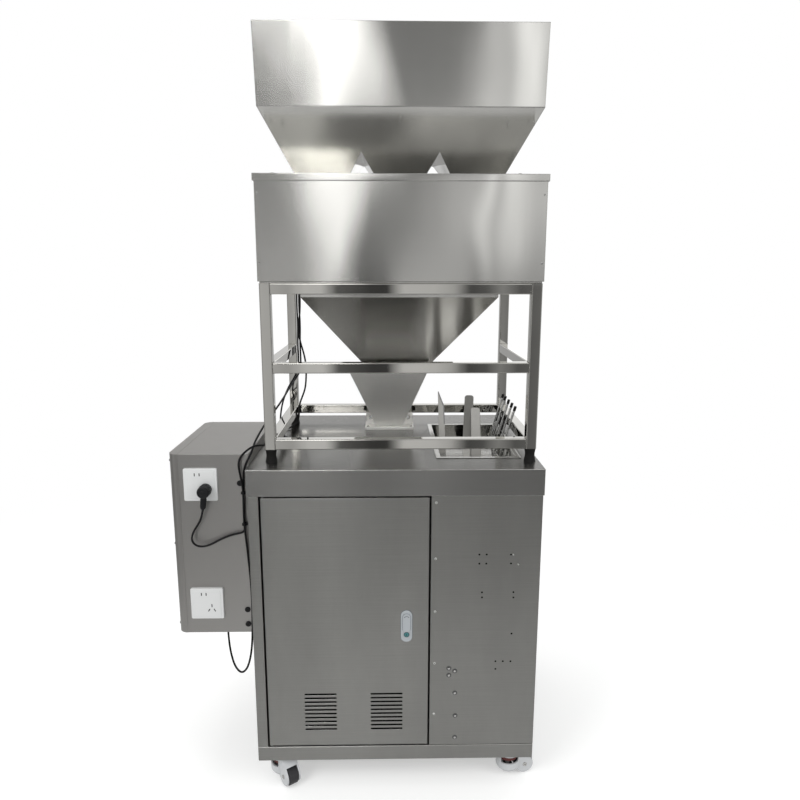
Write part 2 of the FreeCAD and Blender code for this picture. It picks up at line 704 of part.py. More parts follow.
def frame_cross_rails():
    """Rails from side to side: low, middle and top in front, low and top at the back."""
    length = FRAME_WIDTH - 2 * TUBE
    rails = []
    for level, top in rail_tops.items():
        ys = [FRAME_FRONT] if level == "middle" else [FRAME_FRONT, back_rail_face]
        for y in ys:
            rails.append(laid_tube(length, Vector(frame_left + TUBE, y, top), Vector(0, 1, 0), 90))
    return group(rails)


def frame_side_rails():
    """Rails from front to back on both sides at all three levels."""
    length = FRAME_DEPTH - 2 * TUBE
    return group([
        laid_tube(length, Vector(x, FRAME_FRONT + TUBE, top), Vector(1, 0, 0), -90)
        for x in (frame_left, side_rail_face)
        for top in rail_tops.values()
    ])


def frame_feet():
    """Waisted rubber feet under the legs."""
    feet = []
    for x, y in leg_corners():
        profile = [
            Vector(0, 0, 0), Vector(FOOT_BASE_RADIUS, 0, 0),
            Vector(FOOT_WAIST_RADIUS, 0, FOOT_HEIGHT * 0.45),
            Vector(FOOT_WAIST_RADIUS, 0, FOOT_HEIGHT * 0.6), Vector(FOOT_TOP_RADIUS, 0, FOOT_HEIGHT),
            Vector(0, 0, FOOT_HEIGHT), Vector(0, 0, 0),
        ]
        foot = Part.Face(Part.makePolygon(profile)).revolve(Vector(0, 0, 0), Vector(0, 0, 1), 360)
        feet.append(moved(foot, x + TUBE / 2.0, y + TUBE / 2.0, top_height))
    return group(feet)


def span(middle, width):
    """Two limits about a middle."""
    return middle - width / 2.0, middle + width / 2.0


# Limits of the cone and the funnel, each as x0, x1, y0, y1
cone_back = back_rail_face - CONE_BACK_GAP
cone_top = span(TOWER_X + CONE_SHIFT, CONE_WIDTH) + (cone_back - CONE_DEPTH, cone_back)
cone_outlet_back = cone_back - CONE_OUTLET_SETBACK
cone_outlet = span(TOWER_X + CONE_OUTLET_SHIFT, CONE_OUTLET_WIDTH) + (
    cone_outlet_back - CONE_OUTLET_DEPTH, cone_outlet_back
)
cone_collar_bottom = frame_top - CONE_COLLAR
cone_bottom = cone_collar_bottom - CONE_HEIGHT
funnel_back = back_rail_face - FUNNEL_BACK_GAP
funnel_top = span(TOWER_X + FUNNEL_SHIFT, FUNNEL_WIDTH) + (funnel_back - FUNNEL_DEPTH, funnel_back)
funnel_outlet_back = funnel_back - FUNNEL_OUTLET_SETBACK
funnel_outlet = span(TOWER_X + FUNNEL_OUTLET_SHIFT, FUNNEL_OUTLET_WIDTH) + (
    funnel_outlet_back - FUNNEL_OUTLET_DEPTH, funnel_outlet_back
)
flange_middle = TOWER_X + FUNNEL_OUTLET_SHIFT
flange_front = funnel_outlet[2] - FLANGE_MARGIN
flange_top = top_height + FLANGE_HEIGHT

# Limits of the tool tray
tray_right = side_rail_face - TRAY_RAIL_GAP
tray_inside = (
    tray_right - TRAY_WIDTH, tray_right,
    FRAME_FRONT + TRAY_FRONT_GAP, back_rail_face - TRAY_BACK_GAP,
)
tray_floor = top_height + TRAY_SHEET - TRAY_DEPTH


def countertop():
    """Folded top with a deep skirt, cut for the funnel, the oval port, the tray and a cable."""
    reach = half + TOP_CLEARANCE + TOP_SHEET
    y0 = -TOP_CLEARANCE - TOP_SHEET
    y1 = CABINET_DEPTH + TOP_CLEARANCE + TOP_SHEET
    s = TOP_SHEET
    top = box(-reach, reach, y0, y1, skirt_bottom, top_height)
    top = top.cut(box(-reach + s, reach - s, y0 + s, y1 - s, skirt_bottom - s, top_height - s))
    z0 = top_height - 2 * s
    z1 = top_height + s
    outlet = box(*funnel_outlet, z0, z1)
    port = rounded_plate(
        PORT_X - PORT_WIDTH / 2.0, PORT_X + PORT_WIDTH / 2.0,
        PORT_Y - PORT_DEPTH / 2.0, PORT_Y + PORT_DEPTH / 2.0, z0, z1, PORT_CORNER,
    )
    tray = box(*inset(tray_inside, -TRAY_SHEET - TRAY_FIT), z0, z1)
    cable = Part.makeCylinder(
        GROMMET_NECK_RADIUS + PIN_CLEARANCE, z1 - z0, Vector(CABLE_HOLE_X, CABLE_HOLE_Y, z0)
    )
    return top.cut(outlet).cut(port).cut(tray).cut(cable)


# Feeder housing limits
housing = (
    frame_left - HOUSING_OVERHANG, frame_right + HOUSING_OVERHANG,
    FRAME_FRONT - HOUSING_OVERHANG, frame_back + HOUSING_OVERHANG,
)
housing_bottom = frame_top + BASE_PLATE_THICKNESS
housing_top = housing_bottom + HOUSING_HEIGHT
lid_top = housing_top + LID_SHEET


def housing_base():
    """Base plate, drawn in from the housing's faces, open over the cone."""
    plate = box(*inset(housing, BASE_PLATE_INSET), frame_top, housing_bottom)
    return plate.cut(box(*inset(cone_top, CONE_SHEET), frame_top - 1.0, housing_bottom + 1.0))


def feeder_housing():
    """Four walls of the housing, folded in at the foot where they stand on the base plate."""
    s = HOUSING_SHEET
    walls = box(*housing, housing_bottom, housing_top)
    walls = walls.cut(box(*inset(housing, s), housing_bottom + s, housing_top + s))
    return walls.cut(box(*inset(cone_top, CONE_SHEET), housing_bottom - s, housing_bottom + 2 * s))


def spout_limits():
    """Outer limits of the three spouts at the foot of the hopper."""
    middle = SPOUT_NOTCH_SPACING / 2.0
    notch = SPOUT_NOTCH_WIDTH / 2.0
    end = HOPPER_MOUTH_WIDTH / 2.0
    y0 = frame_middle_y - HOPPER_MOUTH_DEPTH / 2.0
    y1 = frame_middle_y + HOPPER_MOUTH_DEPTH / 2.0
    spans = [(-end, -middle - notch), (-middle + notch, middle - notch), (middle + notch, end)]
    return [(TOWER_X + x0, TOWER_X + x1, y0, y1) for x0, x1 in spans]


def feeder_lid():
    """Overhanging lid with a folded skirt and an opening for each spout."""
    outer = inset(housing, -LID_CLEARANCE - LID_SKIRT_SHEET)
    lid = box(*outer, lid_top - LID_SKIRT, lid_top)
    lid = lid.cut(box(*inset(outer, LID_SKIRT_SHEET), lid_top - LID_SKIRT - 1.0, housing_top))
    for spout in spout_limits():
        lid = lid.cut(box(*inset(spout, -SPOUT_CLEARANCE), housing_top - 1.0, lid_top + 1.0))
    return lid


# Hopper limits
mouth_z = lid_top + SPOUT_COLLAR_ABOVE
crease_z = mouth_z + HOPPER_TAPER_HEIGHT
rim_z = crease_z + HOPPER_BAND_HEIGHT


def about_tower(width, depth):
    """Rectangle limits centred on the tower."""
    return (
        TOWER_X - width / 2.0, TOWER_X + width / 2.0,
        frame_middle_y - depth / 2.0, frame_middle_y + depth / 2.0,
    )


def hopper_band():
    """Upper band of the hopper, flaring slightly up to its rim."""
    crease = about_tower(HOPPER_CREASE_WIDTH, HOPPER_CREASE_DEPTH)
    rim = about_tower(HOPPER_RIM_WIDTH, HOPPER_RIM_DEPTH)
    return open_taper(crease, crease_z, rim, rim_z, HOPPER_SHEET)


def notch(x, grow):
    """Gable-shaped cutter between two spouts, made larger by grow on its slopes."""
    rise = SPOUT_NOTCH_HEIGHT
    run = SPOUT_NOTCH_WIDTH / 2.0
    slope = math.hypot(rise, run)
    side = grow * slope / rise
    up = grow * slope / run
    below = 5.0
    low_run = (run + side) * (rise + up + below) / (rise + up)
    y0 = frame_middle_y - HOPPER_CREASE_DEPTH
    profile = Part.makePolygon([
        Vector(x - low_run, y0, mouth_z - below), Vector(x + low_run, y0, mouth_z - below),
        Vector(x, y0, mouth_z + rise + up), Vector(x - low_run, y0, mouth_z - below),
    ])
    return Part.Face(profile).extrude(Vector(0, 2 * HOPPER_CREASE_DEPTH, 0))


def hopper_taper():
    """Lower part of the hopper, split by two gables into three spouts with short collars."""
    mouth = about_tower(HOPPER_MOUTH_WIDTH, HOPPER_MOUTH_DEPTH)
    crease = about_tower(HOPPER_CREASE_WIDTH, HOPPER_CREASE_DEPTH)
    s = HOPPER_SHEET
    low = between(inset(mouth, s), mouth_z, inset(crease, s), crease_z, mouth_z - s)
    high = between(inset(mouth, s), mouth_z, inset(crease, s), crease_z, crease_z + s)
    outer = taper(mouth, mouth_z, crease, crease_z)
    cavity = taper(low, mouth_z - s, high, crease_z + s)
    for x in (TOWER_X - SPOUT_NOTCH_SPACING / 2.0, TOWER_X + SPOUT_NOTCH_SPACING / 2.0):
        outer = outer.cut(notch(x, 0.0))
        cavity = cavity.cut(notch(x, s))
    shell = outer.cut(cavity)
    bottom = lid_top - SPOUT_COLLAR_BELOW
    for spout in spout_limits():
        collar = box(*spout, bottom, mouth_z + s)
        shell = shell.fuse(collar.cut(box(*inset(spout, s), bottom - 1.0, mouth_z + s + 1.0)).common(
            fuse([box(*spout, bottom, mouth_z), outer])
        ))
    return shell.removeSplitter()


def collecting_cone():
    """Four-sided cone that gathers what the feeder drops and leads it towards the far side."""
    collar = box(*cone_top, cone_collar_bottom, frame_top)
    collar = collar.cut(box(*inset(cone_top, CONE_SHEET), cone_collar_bottom - 1.0, frame_top + 1.0))
    return fuse([collar, open_taper(cone_outlet, cone_bottom, cone_top, cone_collar_bottom, CONE_SHEET)])


def lower_funnel():
    """Funnel that catches the cone's stream and stands on its flange."""
    return open_taper(funnel_outlet, flange_top, funnel_top, cone_bottom, FUNNEL_SHEET)


def funnel_flange():
    """Raised base flange of the funnel with two upright ears for its bolts."""
    s = FLANGE_SHEET
    outline = span(flange_middle, FLANGE_WIDTH) + (flange_front, flange_front + FLANGE_DEPTH)
    flange = box(*outline, top_height, flange_top)
    flange = flange.cut(box(*inset(outline, s), top_height - s, flange_top - s))
    flange = flange.cut(box(*inset(funnel_outlet, FUNNEL_SHEET), top_height, flange_top + s))
    ears = []
    y = flange_front + EAR_SETBACK
    room = taper(
        inset(funnel_outlet, -EAR_GAP), flange_top, inset(funnel_top, -EAR_GAP), cone_bottom
    )
    for x in span(flange_middle, EAR_SPACING):
        ear = box(*span(x, EAR_WIDTH), y, y + EAR_SHEET, flange_top, flange_top + EAR_HEIGHT)
        hole = Part.makeCylinder(
            EAR_HOLE_RADIUS, 3 * EAR_SHEET,
            Vector(x, y - EAR_SHEET, flange_top + EAR_HEIGHT - EAR_HOLE_DROP), Vector(0, 1, 0),
        )
        ears.append(ear.cut(hole).cut(room))
    return fuse([flange] + ears)


def tool_tray():
    """Drop-in tray whose rim lies on the countertop."""
    s = TRAY_SHEET
    rim = box(*inset(tray_inside, -TRAY_RIM), top_height, top_height + s)
    well = box(*inset(tray_inside, -s), tray_floor - s, top_height)
    return fuse([rim, well]).cut(box(*tray_inside, tray_floor, top_height + 2 * s))


def flat_bar(length):
    """Flat bar with two rounded upper corners, running up from the origin."""
    r = BAR_WIDTH / 2.0
    t = BAR_THICKNESS
    bar = box(-r, r, -t / 2.0, t / 2.0, 0, length)
    corners = [e for e in bar.Edges if e.BoundBox.YLength > t / 2.0 and e.BoundBox.ZMin > length / 2.0]
    return bar.makeFillet(BAR_CORNER, corners)


def blade():
    """Thin blade whose upper end is cut to a slanting tip."""
    w = BLADE_WIDTH / 2.0
    t = BLADE_THICKNESS / 2.0
    outline = Part.makePolygon([
        Vector(-w, -t, 0), Vector(w, -t, 0), Vector(w, -t, BLADE_LENGTH - BLADE_TIP_LENGTH),
        Vector(-w * 0.8, -t, BLADE_LENGTH), Vector(-w, -t, BLADE_LENGTH), Vector(-w, -t, 0),
    ])
    return Part.Face(outline).extrude(Vector(0, BLADE_THICKNESS, 0))


def over_back_rail(thickness, length, place, slant, run):
    """Foot and upper end of a tool that stands in the tray and leans over the low back rail's edge."""
    off = thickness / 2.0 + TOOL_GAP
    drop = low_rail_top - tray_floor
    lean = math.hypot(run, drop)
    edge = Vector(0, back_rail_face - off * drop / lean, low_rail_top + off * run / lean)
    foot = edge.add(Vector(tray_inside[0] + place, -run, tray_floor + off - edge.z))
    up = Vector(slant, run, edge.z - foot.z).normalize()
    return foot, foot.add(up.multiply(length))


def tool_bars():
    """Short bar leaning on the low back rail, and a long one whose upper end lies on it."""
    foot, end = over_back_rail(
        BAR_THICKNESS, SHORT_BAR_LENGTH, SHORT_BAR_PLACE, SHORT_BAR_SLANT, SHORT_BAR_RUN
    )
    along = end.sub(foot).normalize()
    above = Vector(along.y, -along.x, 0).normalize().cross(along)
    rest = foot.add(Vector(along).multiply(LONG_BAR_REST)).add(above.multiply(BAR_THICKNESS + LONG_BAR_GAP))
    rest.x += LONG_BAR_SHIFT
    long_foot_z = tray_floor + BAR_THICKNESS / 2.0 + TOOL_GAP
    rise = rest.z - long_foot_z
    run = math.sqrt(LONG_BAR_LENGTH ** 2 - rise ** 2 - LONG_BAR_SLANT ** 2)
    long_foot = Vector(rest.x - LONG_BAR_SLANT, rest.y - run, long_foot_z)
    return group([
        leaning(flat_bar(SHORT_BAR_LENGTH), foot, end),
        leaning(flat_bar(LONG_BAR_LENGTH), long_foot, rest),
    ])


def tool_blade():
    """Blade leaning on the low back rail."""
    ends = over_back_rail(BLADE_THICKNESS, BLADE_LENGTH, BLADE_PLACE, BLADE_SLANT, BLADE_RUN)
    return leaning(blade(), *ends)


def capped_rod(length, cap):
    """Round rod with a slightly thicker cap on its upper end."""
    return fuse([
        Part.makeCylinder(ROD_RADIUS, length),
        Part.makeCylinder(ROD_CAP_RADIUS, cap, Vector(0, 0, length - cap)),
    ])


def tool_rods():
    """Rods standing in the tray: long ones over the low right rail, short ones against its side."""
    rods = []
    off = ROD_RADIUS + TOOL_GAP
    for place in LONG_ROD_PLACES:
        drop = low_rail_top - tray_floor
        lean = math.hypot(LONG_ROD_RUN, drop)
        y = tray_inside[2] + place
        rest = Vector(side_rail_face - off * drop / lean, y, low_rail_top + off * LONG_ROD_RUN / lean)
        foot = Vector(rest.x - LONG_ROD_RUN, y, tray_floor + off * LONG_ROD_RUN / lean)
        rods.append(leaning(capped_rod(LONG_ROD_LENGTH, LONG_ROD_CAP), foot, rest))
    for place in SHORT_ROD_PLACES:
        y = tray_inside[2] + place
        rest_x = side_rail_face - ROD_CAP_RADIUS - TOOL_GAP
        height = math.sqrt(SHORT_ROD_LENGTH ** 2 - SHORT_ROD_RUN ** 2)
        foot = Vector(rest_x - SHORT_ROD_RUN, y, tray_floor + off * SHORT_ROD_RUN / SHORT_ROD_LENGTH)
        rods.append(leaning(
            capped_rod(SHORT_ROD_LENGTH, SHORT_ROD_CAP), foot, Vector(rest_x, y, foot.z + height)
        ))
    return group(rods)


# Electrical box limits
box_right = -half - TOP_CLEARANCE - TOP_SHEET - BOX_SKIRT_GAP
box_left = box_right - BOX_WIDTH
box_top = top_height + BOX_RISE
box_bottom = box_top - BOX_HEIGHT
box_back = BOX_FRONT + BOX_DEPTH
socket_x = box_right - SOCKET_INSET
socket_front = BOX_FRONT - SOCKET_PROUD


def electrical_box():
    """Closed body of the electrical box."""
    return box(box_left + BOX_COVER_DEPTH, box_right, BOX_FRONT, box_back, box_bottom, box_top)


def box_cover():
    """Outer cover of the electrical box, with large rounded upright edges."""
    cover = box(box_left, box_left + BOX_COVER_DEPTH, BOX_FRONT, box_back, box_bottom, box_top)
    outer = [
        e for e in cover.Edges
        if e.BoundBox.XMax < box_left + 0.1 and e.BoundBox.ZLength > BOX_HEIGHT / 2.0
    ]
    return cover.makeFillet(BOX_EDGE_ROUND, outer)


def box_strips():
    """Two strips that hold the electrical box off the cabinet's side, below the skirt."""
    z0 = box_bottom + BOX_STRIP_MARGIN
    z1 = skirt_bottom - BOX_STRIP_MARGIN
    ys = (BOX_FRONT + BOX_STRIP_MARGIN, box_back - BOX_STRIP_MARGIN - BOX_STRIP_WIDTH)
    return group([box(box_right, -half, y0, y0 + BOX_STRIP_WIDTH, z0, z1) for y0 in ys])


def wall_socket(z):
    """Square wall socket with rounded corners and a softened front edge."""
    r = SOCKET_SIZE / 2.0
    plate = box(socket_x - r, socket_x + r, socket_front, BOX_FRONT, z - r, z + r)
    deep = [e for e in plate.Edges if e.BoundBox.YLength > SOCKET_PROUD / 2.0]
    plate = plate.makeFillet(SOCKET_CORNER, deep)
    front = [e for e in plate.Edges if e.BoundBox.YMax < socket_front + 0.1]
    return plate.makeFillet(SOCKET_EDGE_ROUND, front)


def cable_glands():
    """Bushes on the front of the electrical box, a gland below it and a grommet in the countertop."""
    glands = [
        Part.makeCylinder(
            BUSH_RADIUS, BUSH_PROUD, Vector(box_right - from_right, BOX_FRONT, box_top - drop),
            Vector(0, -1, 0),
        )
        for from_right, drop in BUSH_PLACES
    ]
    glands.append(Part.makeCylinder(
        GLAND_RADIUS, GLAND_PROUD,
        Vector(box_right - LOW_GLAND_INSET, BOX_FRONT + LOW_GLAND_SETBACK, box_bottom), Vector(0, 0, -1),
    ))
    hole = Vector(CABLE_HOLE_X, CABLE_HOLE_Y, top_height)
    collar = Part.makeCylinder(GROMMET_RADIUS, GROMMET_PROUD, hole)
    neck = Part.makeCylinder(GROMMET_NECK_RADIUS, GROMMET_DEPTH, hole, Vector(0, 0, -1))
    bore = Part.makeCylinder(
        BRANCH_DIAMETER / 2.0 + PIN_CLEARANCE, 2 * (GROMMET_PROUD + GROMMET_DEPTH),
        hole.sub(Vector(0, 0, GROMMET_PROUD + GROMMET_DEPTH)),
    )
    glands.append(fuse([collar, neck]).cut(bore))
    return group(glands)


def plug():
    """Round plug on the upper socket, its cord leaving downwards through a tapered strain relief."""
    x = socket_x + PLUG_SHIFT
    z = box_top - UPPER_SOCKET_DROP - PLUG_DROP
    body = Part.makeCylinder(PLUG_RADIUS, PLUG_LENGTH, Vector(x, socket_front, z), Vector(0, -1, 0))
    face_y = socket_front - PLUG_LENGTH
    body = body.makeFillet(PLUG_ROUND, [e for e in body.Edges if e.BoundBox.YMax < face_y + 0.1])
    relief = Part.makeCone(
        RELIEF_TOP_RADIUS, RELIEF_BOTTOM_RADIUS, RELIEF_LENGTH,
        Vector(x, socket_front - PLUG_LENGTH / 2.0, z),
        Vector(RELIEF_LEAN, 0, -RELIEF_LENGTH),
    )
    return fuse([body, relief])


def cord(name, route, diameter):
    """Round cord along straight runs joined by tangent arcs, with its length, volume and radii printed."""
    points = [Vector(*point) for point in route]
    edges = []
    radii = []
    start = points[0]
    for before, corner, after in zip(points, points[1:], points[2:]):
        arriving = corner.sub(before).normalize()
        leaving = after.sub(corner).normalize()
        half_turn = arriving.getAngle(leaving) / 2.0
        reach = ARC_SHARE * min(corner.sub(before).Length, after.sub(corner).Length)
        radius = reach / math.tan(half_turn)
        radii.append(radius)
        first = corner.sub(Vector(arriving).multiply(reach))
        last = corner.add(Vector(leaving).multiply(reach))
        bisector = leaving.sub(arriving).normalize()
        middle = corner.add(bisector.multiply(radius / math.cos(half_turn) - radius))
        edges.append(Part.LineSegment(start, first).toShape())
        edges.append(Part.Arc(first, middle, last).toShape())
        start = last
    edges.append(Part.LineSegment(start, points[-1]).toShape())
    path = Part.Wire(edges)
    section = Part.Wire(Part.makeCircle(diameter / 2.0, points[0], points[1].sub(points[0])))
    tube_shape = path.makePipeShell([section], True, False)
    expected = math.pi * diameter ** 2 / 4.0 * path.Length
    print(name, "length", round(path.Length), "volume share", round(tube_shape.Volume / expected, 4))
    print(name, "radii", [round(radius, 1) for radius in radii])
    return tube_shape


def cable_ties():
    """Two bands round the power and control cords, each with its square head."""
    ties = []
    for x, y, z in TIE_PLACES:
        outer = rounded_plate(
            x - TIE_WIDTH / 2.0, x + TIE_WIDTH / 2.0, y - TIE_DEPTH / 2.0, y + TIE_DEPTH / 2.0,
            z, z + TIE_HEIGHT, TIE_WIDTH / 2.5,
        )
        inner = rounded_plate(
            x - TIE_WIDTH / 2.0 + TIE_BAND, x + TIE_WIDTH / 2.0 - TIE_BAND,
            y - TIE_DEPTH / 2.0 + TIE_BAND, y + TIE_DEPTH / 2.0 - TIE_BAND, z - 1.0, z + TIE_HEIGHT + 1.0,
            TIE_WIDTH / 2.5 - TIE_BAND,
        )
        head_x = x + TIE_WIDTH / 2.0
        head = box(head_x - TIE_BAND / 2.0, head_x + TIE_HEAD, *span(y, TIE_HEAD), z, z + TIE_HEAD)
        ties.append(fuse([outer.cut(inner), head]))
    return group(ties)


def build():
    """Every node by name."""
    nodes = {
        "cabinet_base": cabinet_base(),
        "cabinet_left_side": cabinet_left_side(),
        "cabinet_right_side": cabinet_right_side(),
        "cabinet_back": cabinet_back(),
        "centre_post": centre_post(),
        "header": header(),
        "front_panel": front_panel(),
        "countertop": countertop(),
        "door_panel": door_panel(),
        "door_lock": door_lock(),
        "hinge_pins": hinge_pins(),
        "frame_legs": frame_legs(),
        "frame_cross_rails": frame_cross_rails(),
        "frame_side_rails": frame_side_rails(),
        "frame_feet": frame_feet(),
        "housing_base": housing_base(),
        "feeder_housing": feeder_housing(),
        "feeder_lid": feeder_lid(),
        "hopper_band": hopper_band(),
        "hopper_taper": hopper_taper(),
        "collecting_cone": collecting_cone(),
        "lower_funnel": lower_funnel(),
        "funnel_flange": funnel_flange(),
        "tool_tray": tool_tray(),
        "tool_bars": tool_bars(),
        "tool_blade": tool_blade(),
        "tool_rods": tool_rods(),
        "electrical_box": electrical_box(),
        "box_cover": box_cover(),
        "box_strips": box_strips(),
        "upper_socket": wall_socket(box_top - UPPER_SOCKET_DROP),
        "lower_socket": wall_socket(box_top - LOWER_SOCKET_DROP),
        "cable_glands": cable_glands(),
    }
    plates = []
    for name, x, y, heading in caster_places():
        plates.append(moved(caster_plate(), x, y, 0, heading))
        nodes["caster_housing_" + name] = moved(caster_housing(), x, y, 0, heading)
        nodes["caster_foot_" + name] = moved(caster_foot(), x, y, 0, heading)
        nodes["caster_wheel_" + name] = moved(caster_wheel(), x, y, 0, heading)
    nodes["caster_plates"] = group(plates)
    return nodes


rigid = build()
cords = {
    "plug": plug(),
    "power_cord": cord("power_cord", POWER_CORD_ROUTE, CORD_DIAMETER),
    "control_cord": cord("control_cord", CONTROL_CORD_ROUTE, CORD_DIAMETER),
    "branch_cord": cord("branch_cord", BRANCH_CORD_ROUTE, BRANCH_DIAMETER),
    "cable_ties": cable_ties(),
}

# The origin goes to the floor under the middle of the whole machine, cords apart
whole = Part.makeCompound(list(rigid.values())).optimalBoundingBox(False, False)
origin = Vector((whole.XMin + whole.XMax) / 2.0, (whole.YMin + whole.YMax) / 2.0, 0.0)
for node, shape in list(rigid.items()) + list(cords.items()):
    placed = shape.copy()
    placed.translate(origin.negative())
    placed.exportStep("parts/" + node + ".step")

print("size", whole.XLength, whole.YLength, whole.ZLength, "from", whole.ZMin)
print("origin in cabinet coordinates", origin)
print("hinge", hinge_x - origin.x, hinge_y - origin.y)
for name, x, y, heading in caster_places():
    turn = math.radians(heading)
    print("caster", name, x - origin.x, y - origin.y, math.cos(turn), math.sin(turn))
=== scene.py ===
import math

import bmesh
import bpy
from mathutils import Matrix, Vector


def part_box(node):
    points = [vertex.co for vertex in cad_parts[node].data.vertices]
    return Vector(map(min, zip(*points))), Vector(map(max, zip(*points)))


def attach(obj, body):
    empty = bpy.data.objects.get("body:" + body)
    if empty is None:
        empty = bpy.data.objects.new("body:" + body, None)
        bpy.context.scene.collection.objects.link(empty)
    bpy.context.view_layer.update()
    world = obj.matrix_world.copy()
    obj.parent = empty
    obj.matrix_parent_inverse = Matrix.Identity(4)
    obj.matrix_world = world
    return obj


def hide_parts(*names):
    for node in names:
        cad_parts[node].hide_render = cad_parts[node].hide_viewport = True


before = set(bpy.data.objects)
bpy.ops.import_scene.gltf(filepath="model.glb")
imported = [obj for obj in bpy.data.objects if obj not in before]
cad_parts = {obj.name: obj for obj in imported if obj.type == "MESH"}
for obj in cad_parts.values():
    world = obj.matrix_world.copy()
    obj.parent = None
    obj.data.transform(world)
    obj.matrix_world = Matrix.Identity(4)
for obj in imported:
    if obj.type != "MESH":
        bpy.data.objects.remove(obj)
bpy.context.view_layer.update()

# Lengths below are in millimetres from the middle of the cabinet (x), its face with the door (y)
# and the floor (z), until at() turns them into metres in the frame.
MM = 0.001
base_low, base_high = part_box("cabinet_base")
CABINET_MIDDLE = (base_low.x + base_high.x) / 2
CABINET_FRONT = base_low.y


def at(x, y, z):
    """Point in the frame, in metres, of a place given from the cabinet's middle, face and floor."""
    return Vector((CABINET_MIDDLE + x * MM, CABINET_FRONT + y * MM, z * MM))


# Camera at the photograph's place
CAMERA_PLACE = (-20.06, -1595.64, 1392.55)
CAMERA_DOWN = 10.89
CAMERA_RIGHT = 1.09
CAMERA_ROLL = 0.06
LENS = 29.83


def make_camera():
    """Camera of the photograph, without depth of field or shift."""
    data = bpy.data.cameras.new("camera")
    data.lens = LENS
    data.sensor_width = 36.0
    data.clip_start = 0.05
    data.clip_end = 100.0
    camera = bpy.data.objects.new("camera", data)
    bpy.context.scene.collection.objects.link(camera)
    turn = Matrix.Rotation(math.radians(-CAMERA_RIGHT), 4, "Z")
    tilt = Matrix.Rotation(math.radians(90.0 - CAMERA_DOWN), 4, "X")
    roll = Matrix.Rotation(math.radians(CAMERA_ROLL), 4, "Z")
    camera.matrix_world = Matrix.Translation(at(*CAMERA_PLACE)) @ turn @ tilt @ roll
    bpy.context.scene.camera = camera


# Free cords: diameters, and routes in millimetres
CORD_DIAMETER = 5.5
BRANCH_DIAMETER = 5.0
POWER_CORD_ROUTE = [
    (-493.0, 25.0, 799.6), (-497.0, 25.3, 774.0), (-512.0, 27.0, 750.0), (-525.0, 30.0, 729.0),
    (-529.0, 33.0, 708.0), (-519.0, 36.0, 693.5), (-501.0, 38.0, 690.0), (-481.0, 40.0, 695.5),
    (-456.0, 42.0, 709.0), (-430.0, 43.5, 719.5), (-409.0, 44.5, 724.0), (-399.0, 45.0, 726.0),
    (-393.5, 45.0, 732.0), (-393.5, 45.0, 744.0), (-394.2, 45.0, 768.0), (-393.8, 45.0, 802.0),
    (-392.5, 45.0, 838.0), (-391.0, 45.0, 868.0), (-389.0, 45.0, 893.0), (-383.5, 44.5, 911.0),
    (-375.0, 44.0, 927.0), (-368.5, 52.0, 940.0), (-368.5, 75.0, 950.0), (-366.5, 112.0, 962.0),
    (-359.0, 168.0, 979.0), (-349.0, 226.0, 996.0), (-338.0, 282.0, 1011.0), (-328.5, 338.0, 1027.0),
    (-321.0, 394.0, 1043.5), (-313.0, 448.0, 1059.0), (-304.0, 490.0, 1071.0), (-298.0, 507.5, 1091.0),
    (-296.5, 511.0, 1122.0), (-298.0, 511.0, 1172.0), (-295.5, 511.0, 1230.0), (-298.0, 511.0, 1288.0),
    (-297.0, 511.0, 1334.0), (-297.0, 511.0, 1366.2),
]
CONTROL_CORD_ROUTE = [
    (-467.0, 110.0, 427.5), (-467.0, 110.0, 403.0), (-464.0, 105.0, 370.0), (-458.0, 98.0, 340.0),
    (-446.0, 85.0, 314.0), (-426.0, 69.0, 304.0), (-407.0, 56.0, 325.0), (-394.5, 48.0, 362.0),
    (-387.0, 44.5, 408.0), (-383.5, 43.5, 468.0), (-382.0, 43.5, 532.0), (-383.0, 43.0, 592.0),
    (-386.0, 42.0, 648.0), (-389.0, 40.5, 696.0), (-391.5, 39.0, 732.0), (-393.0, 39.0, 768.0),
    (-392.0, 39.0, 806.0), (-391.5, 39.0, 842.0), (-394.5, 38.5, 868.0), (-398.5, 38.0, 893.0),
    (-400.5, 38.0, 912.0), (-396.5, 39.0, 929.0), (-384.5, 44.0, 943.0), (-367.0, 60.0, 954.0),
    (-352.0, 84.0, 950.0), (-343.5, 119.0, 942.0), (-341.5, 166.0, 930.0), (-344.0, 226.0, 917.0),
    (-350.5, 287.0, 911.5), (-355.0, 342.0, 910.9), (-351.0, 388.0, 910.9), (-337.0, 425.0, 911.0),
    (-320.0, 455.0, 914.0), (-309.0, 476.0, 922.0), (-304.5, 490.0, 938.0), (-304.5, 500.0, 958.0),
    (-302.5, 505.0, 980.0), (-293.0, 505.0, 1003.0), (-284.5, 505.0, 1026.0), (-281.0, 505.0, 1052.0),
    (-279.5, 505.0, 1084.0), (-281.0, 504.8, 1116.0), (-287.0, 504.8, 1145.0), (-295.5, 504.8, 1175.0),
    (-301.0, 504.8, 1206.0), (-299.0, 504.8, 1238.0), (-294.5, 504.8, 1270.0), (-293.0, 504.8, 1316.0),
    (-293.0, 504.8, 1366.2),
]
BRANCH_CORD_ROUTE = [
    (-328.0, 334.0, 896.0), (-328.0, 334.0, 914.0), (-333.0, 337.5, 928.0), (-340.5, 346.0, 941.0),
    (-343.0, 360.0, 958.0), (-343.5, 376.0, 975.0), (-343.0, 399.0, 994.0), (-338.0, 426.0, 1018.0),
    (-328.5, 456.0, 1044.0), (-316.0, 486.0, 1064.0), (-306.5, 506.0, 1088.0), (-303.0, 511.0, 1120.0),
    (-305.0, 511.0, 1172.0), (-302.3, 511.0, 1230.0), (-304.6, 511.0, 1288.0), (-303.5, 511.0, 1334.0),
    (-303.5, 511.0, 1366.2),
]


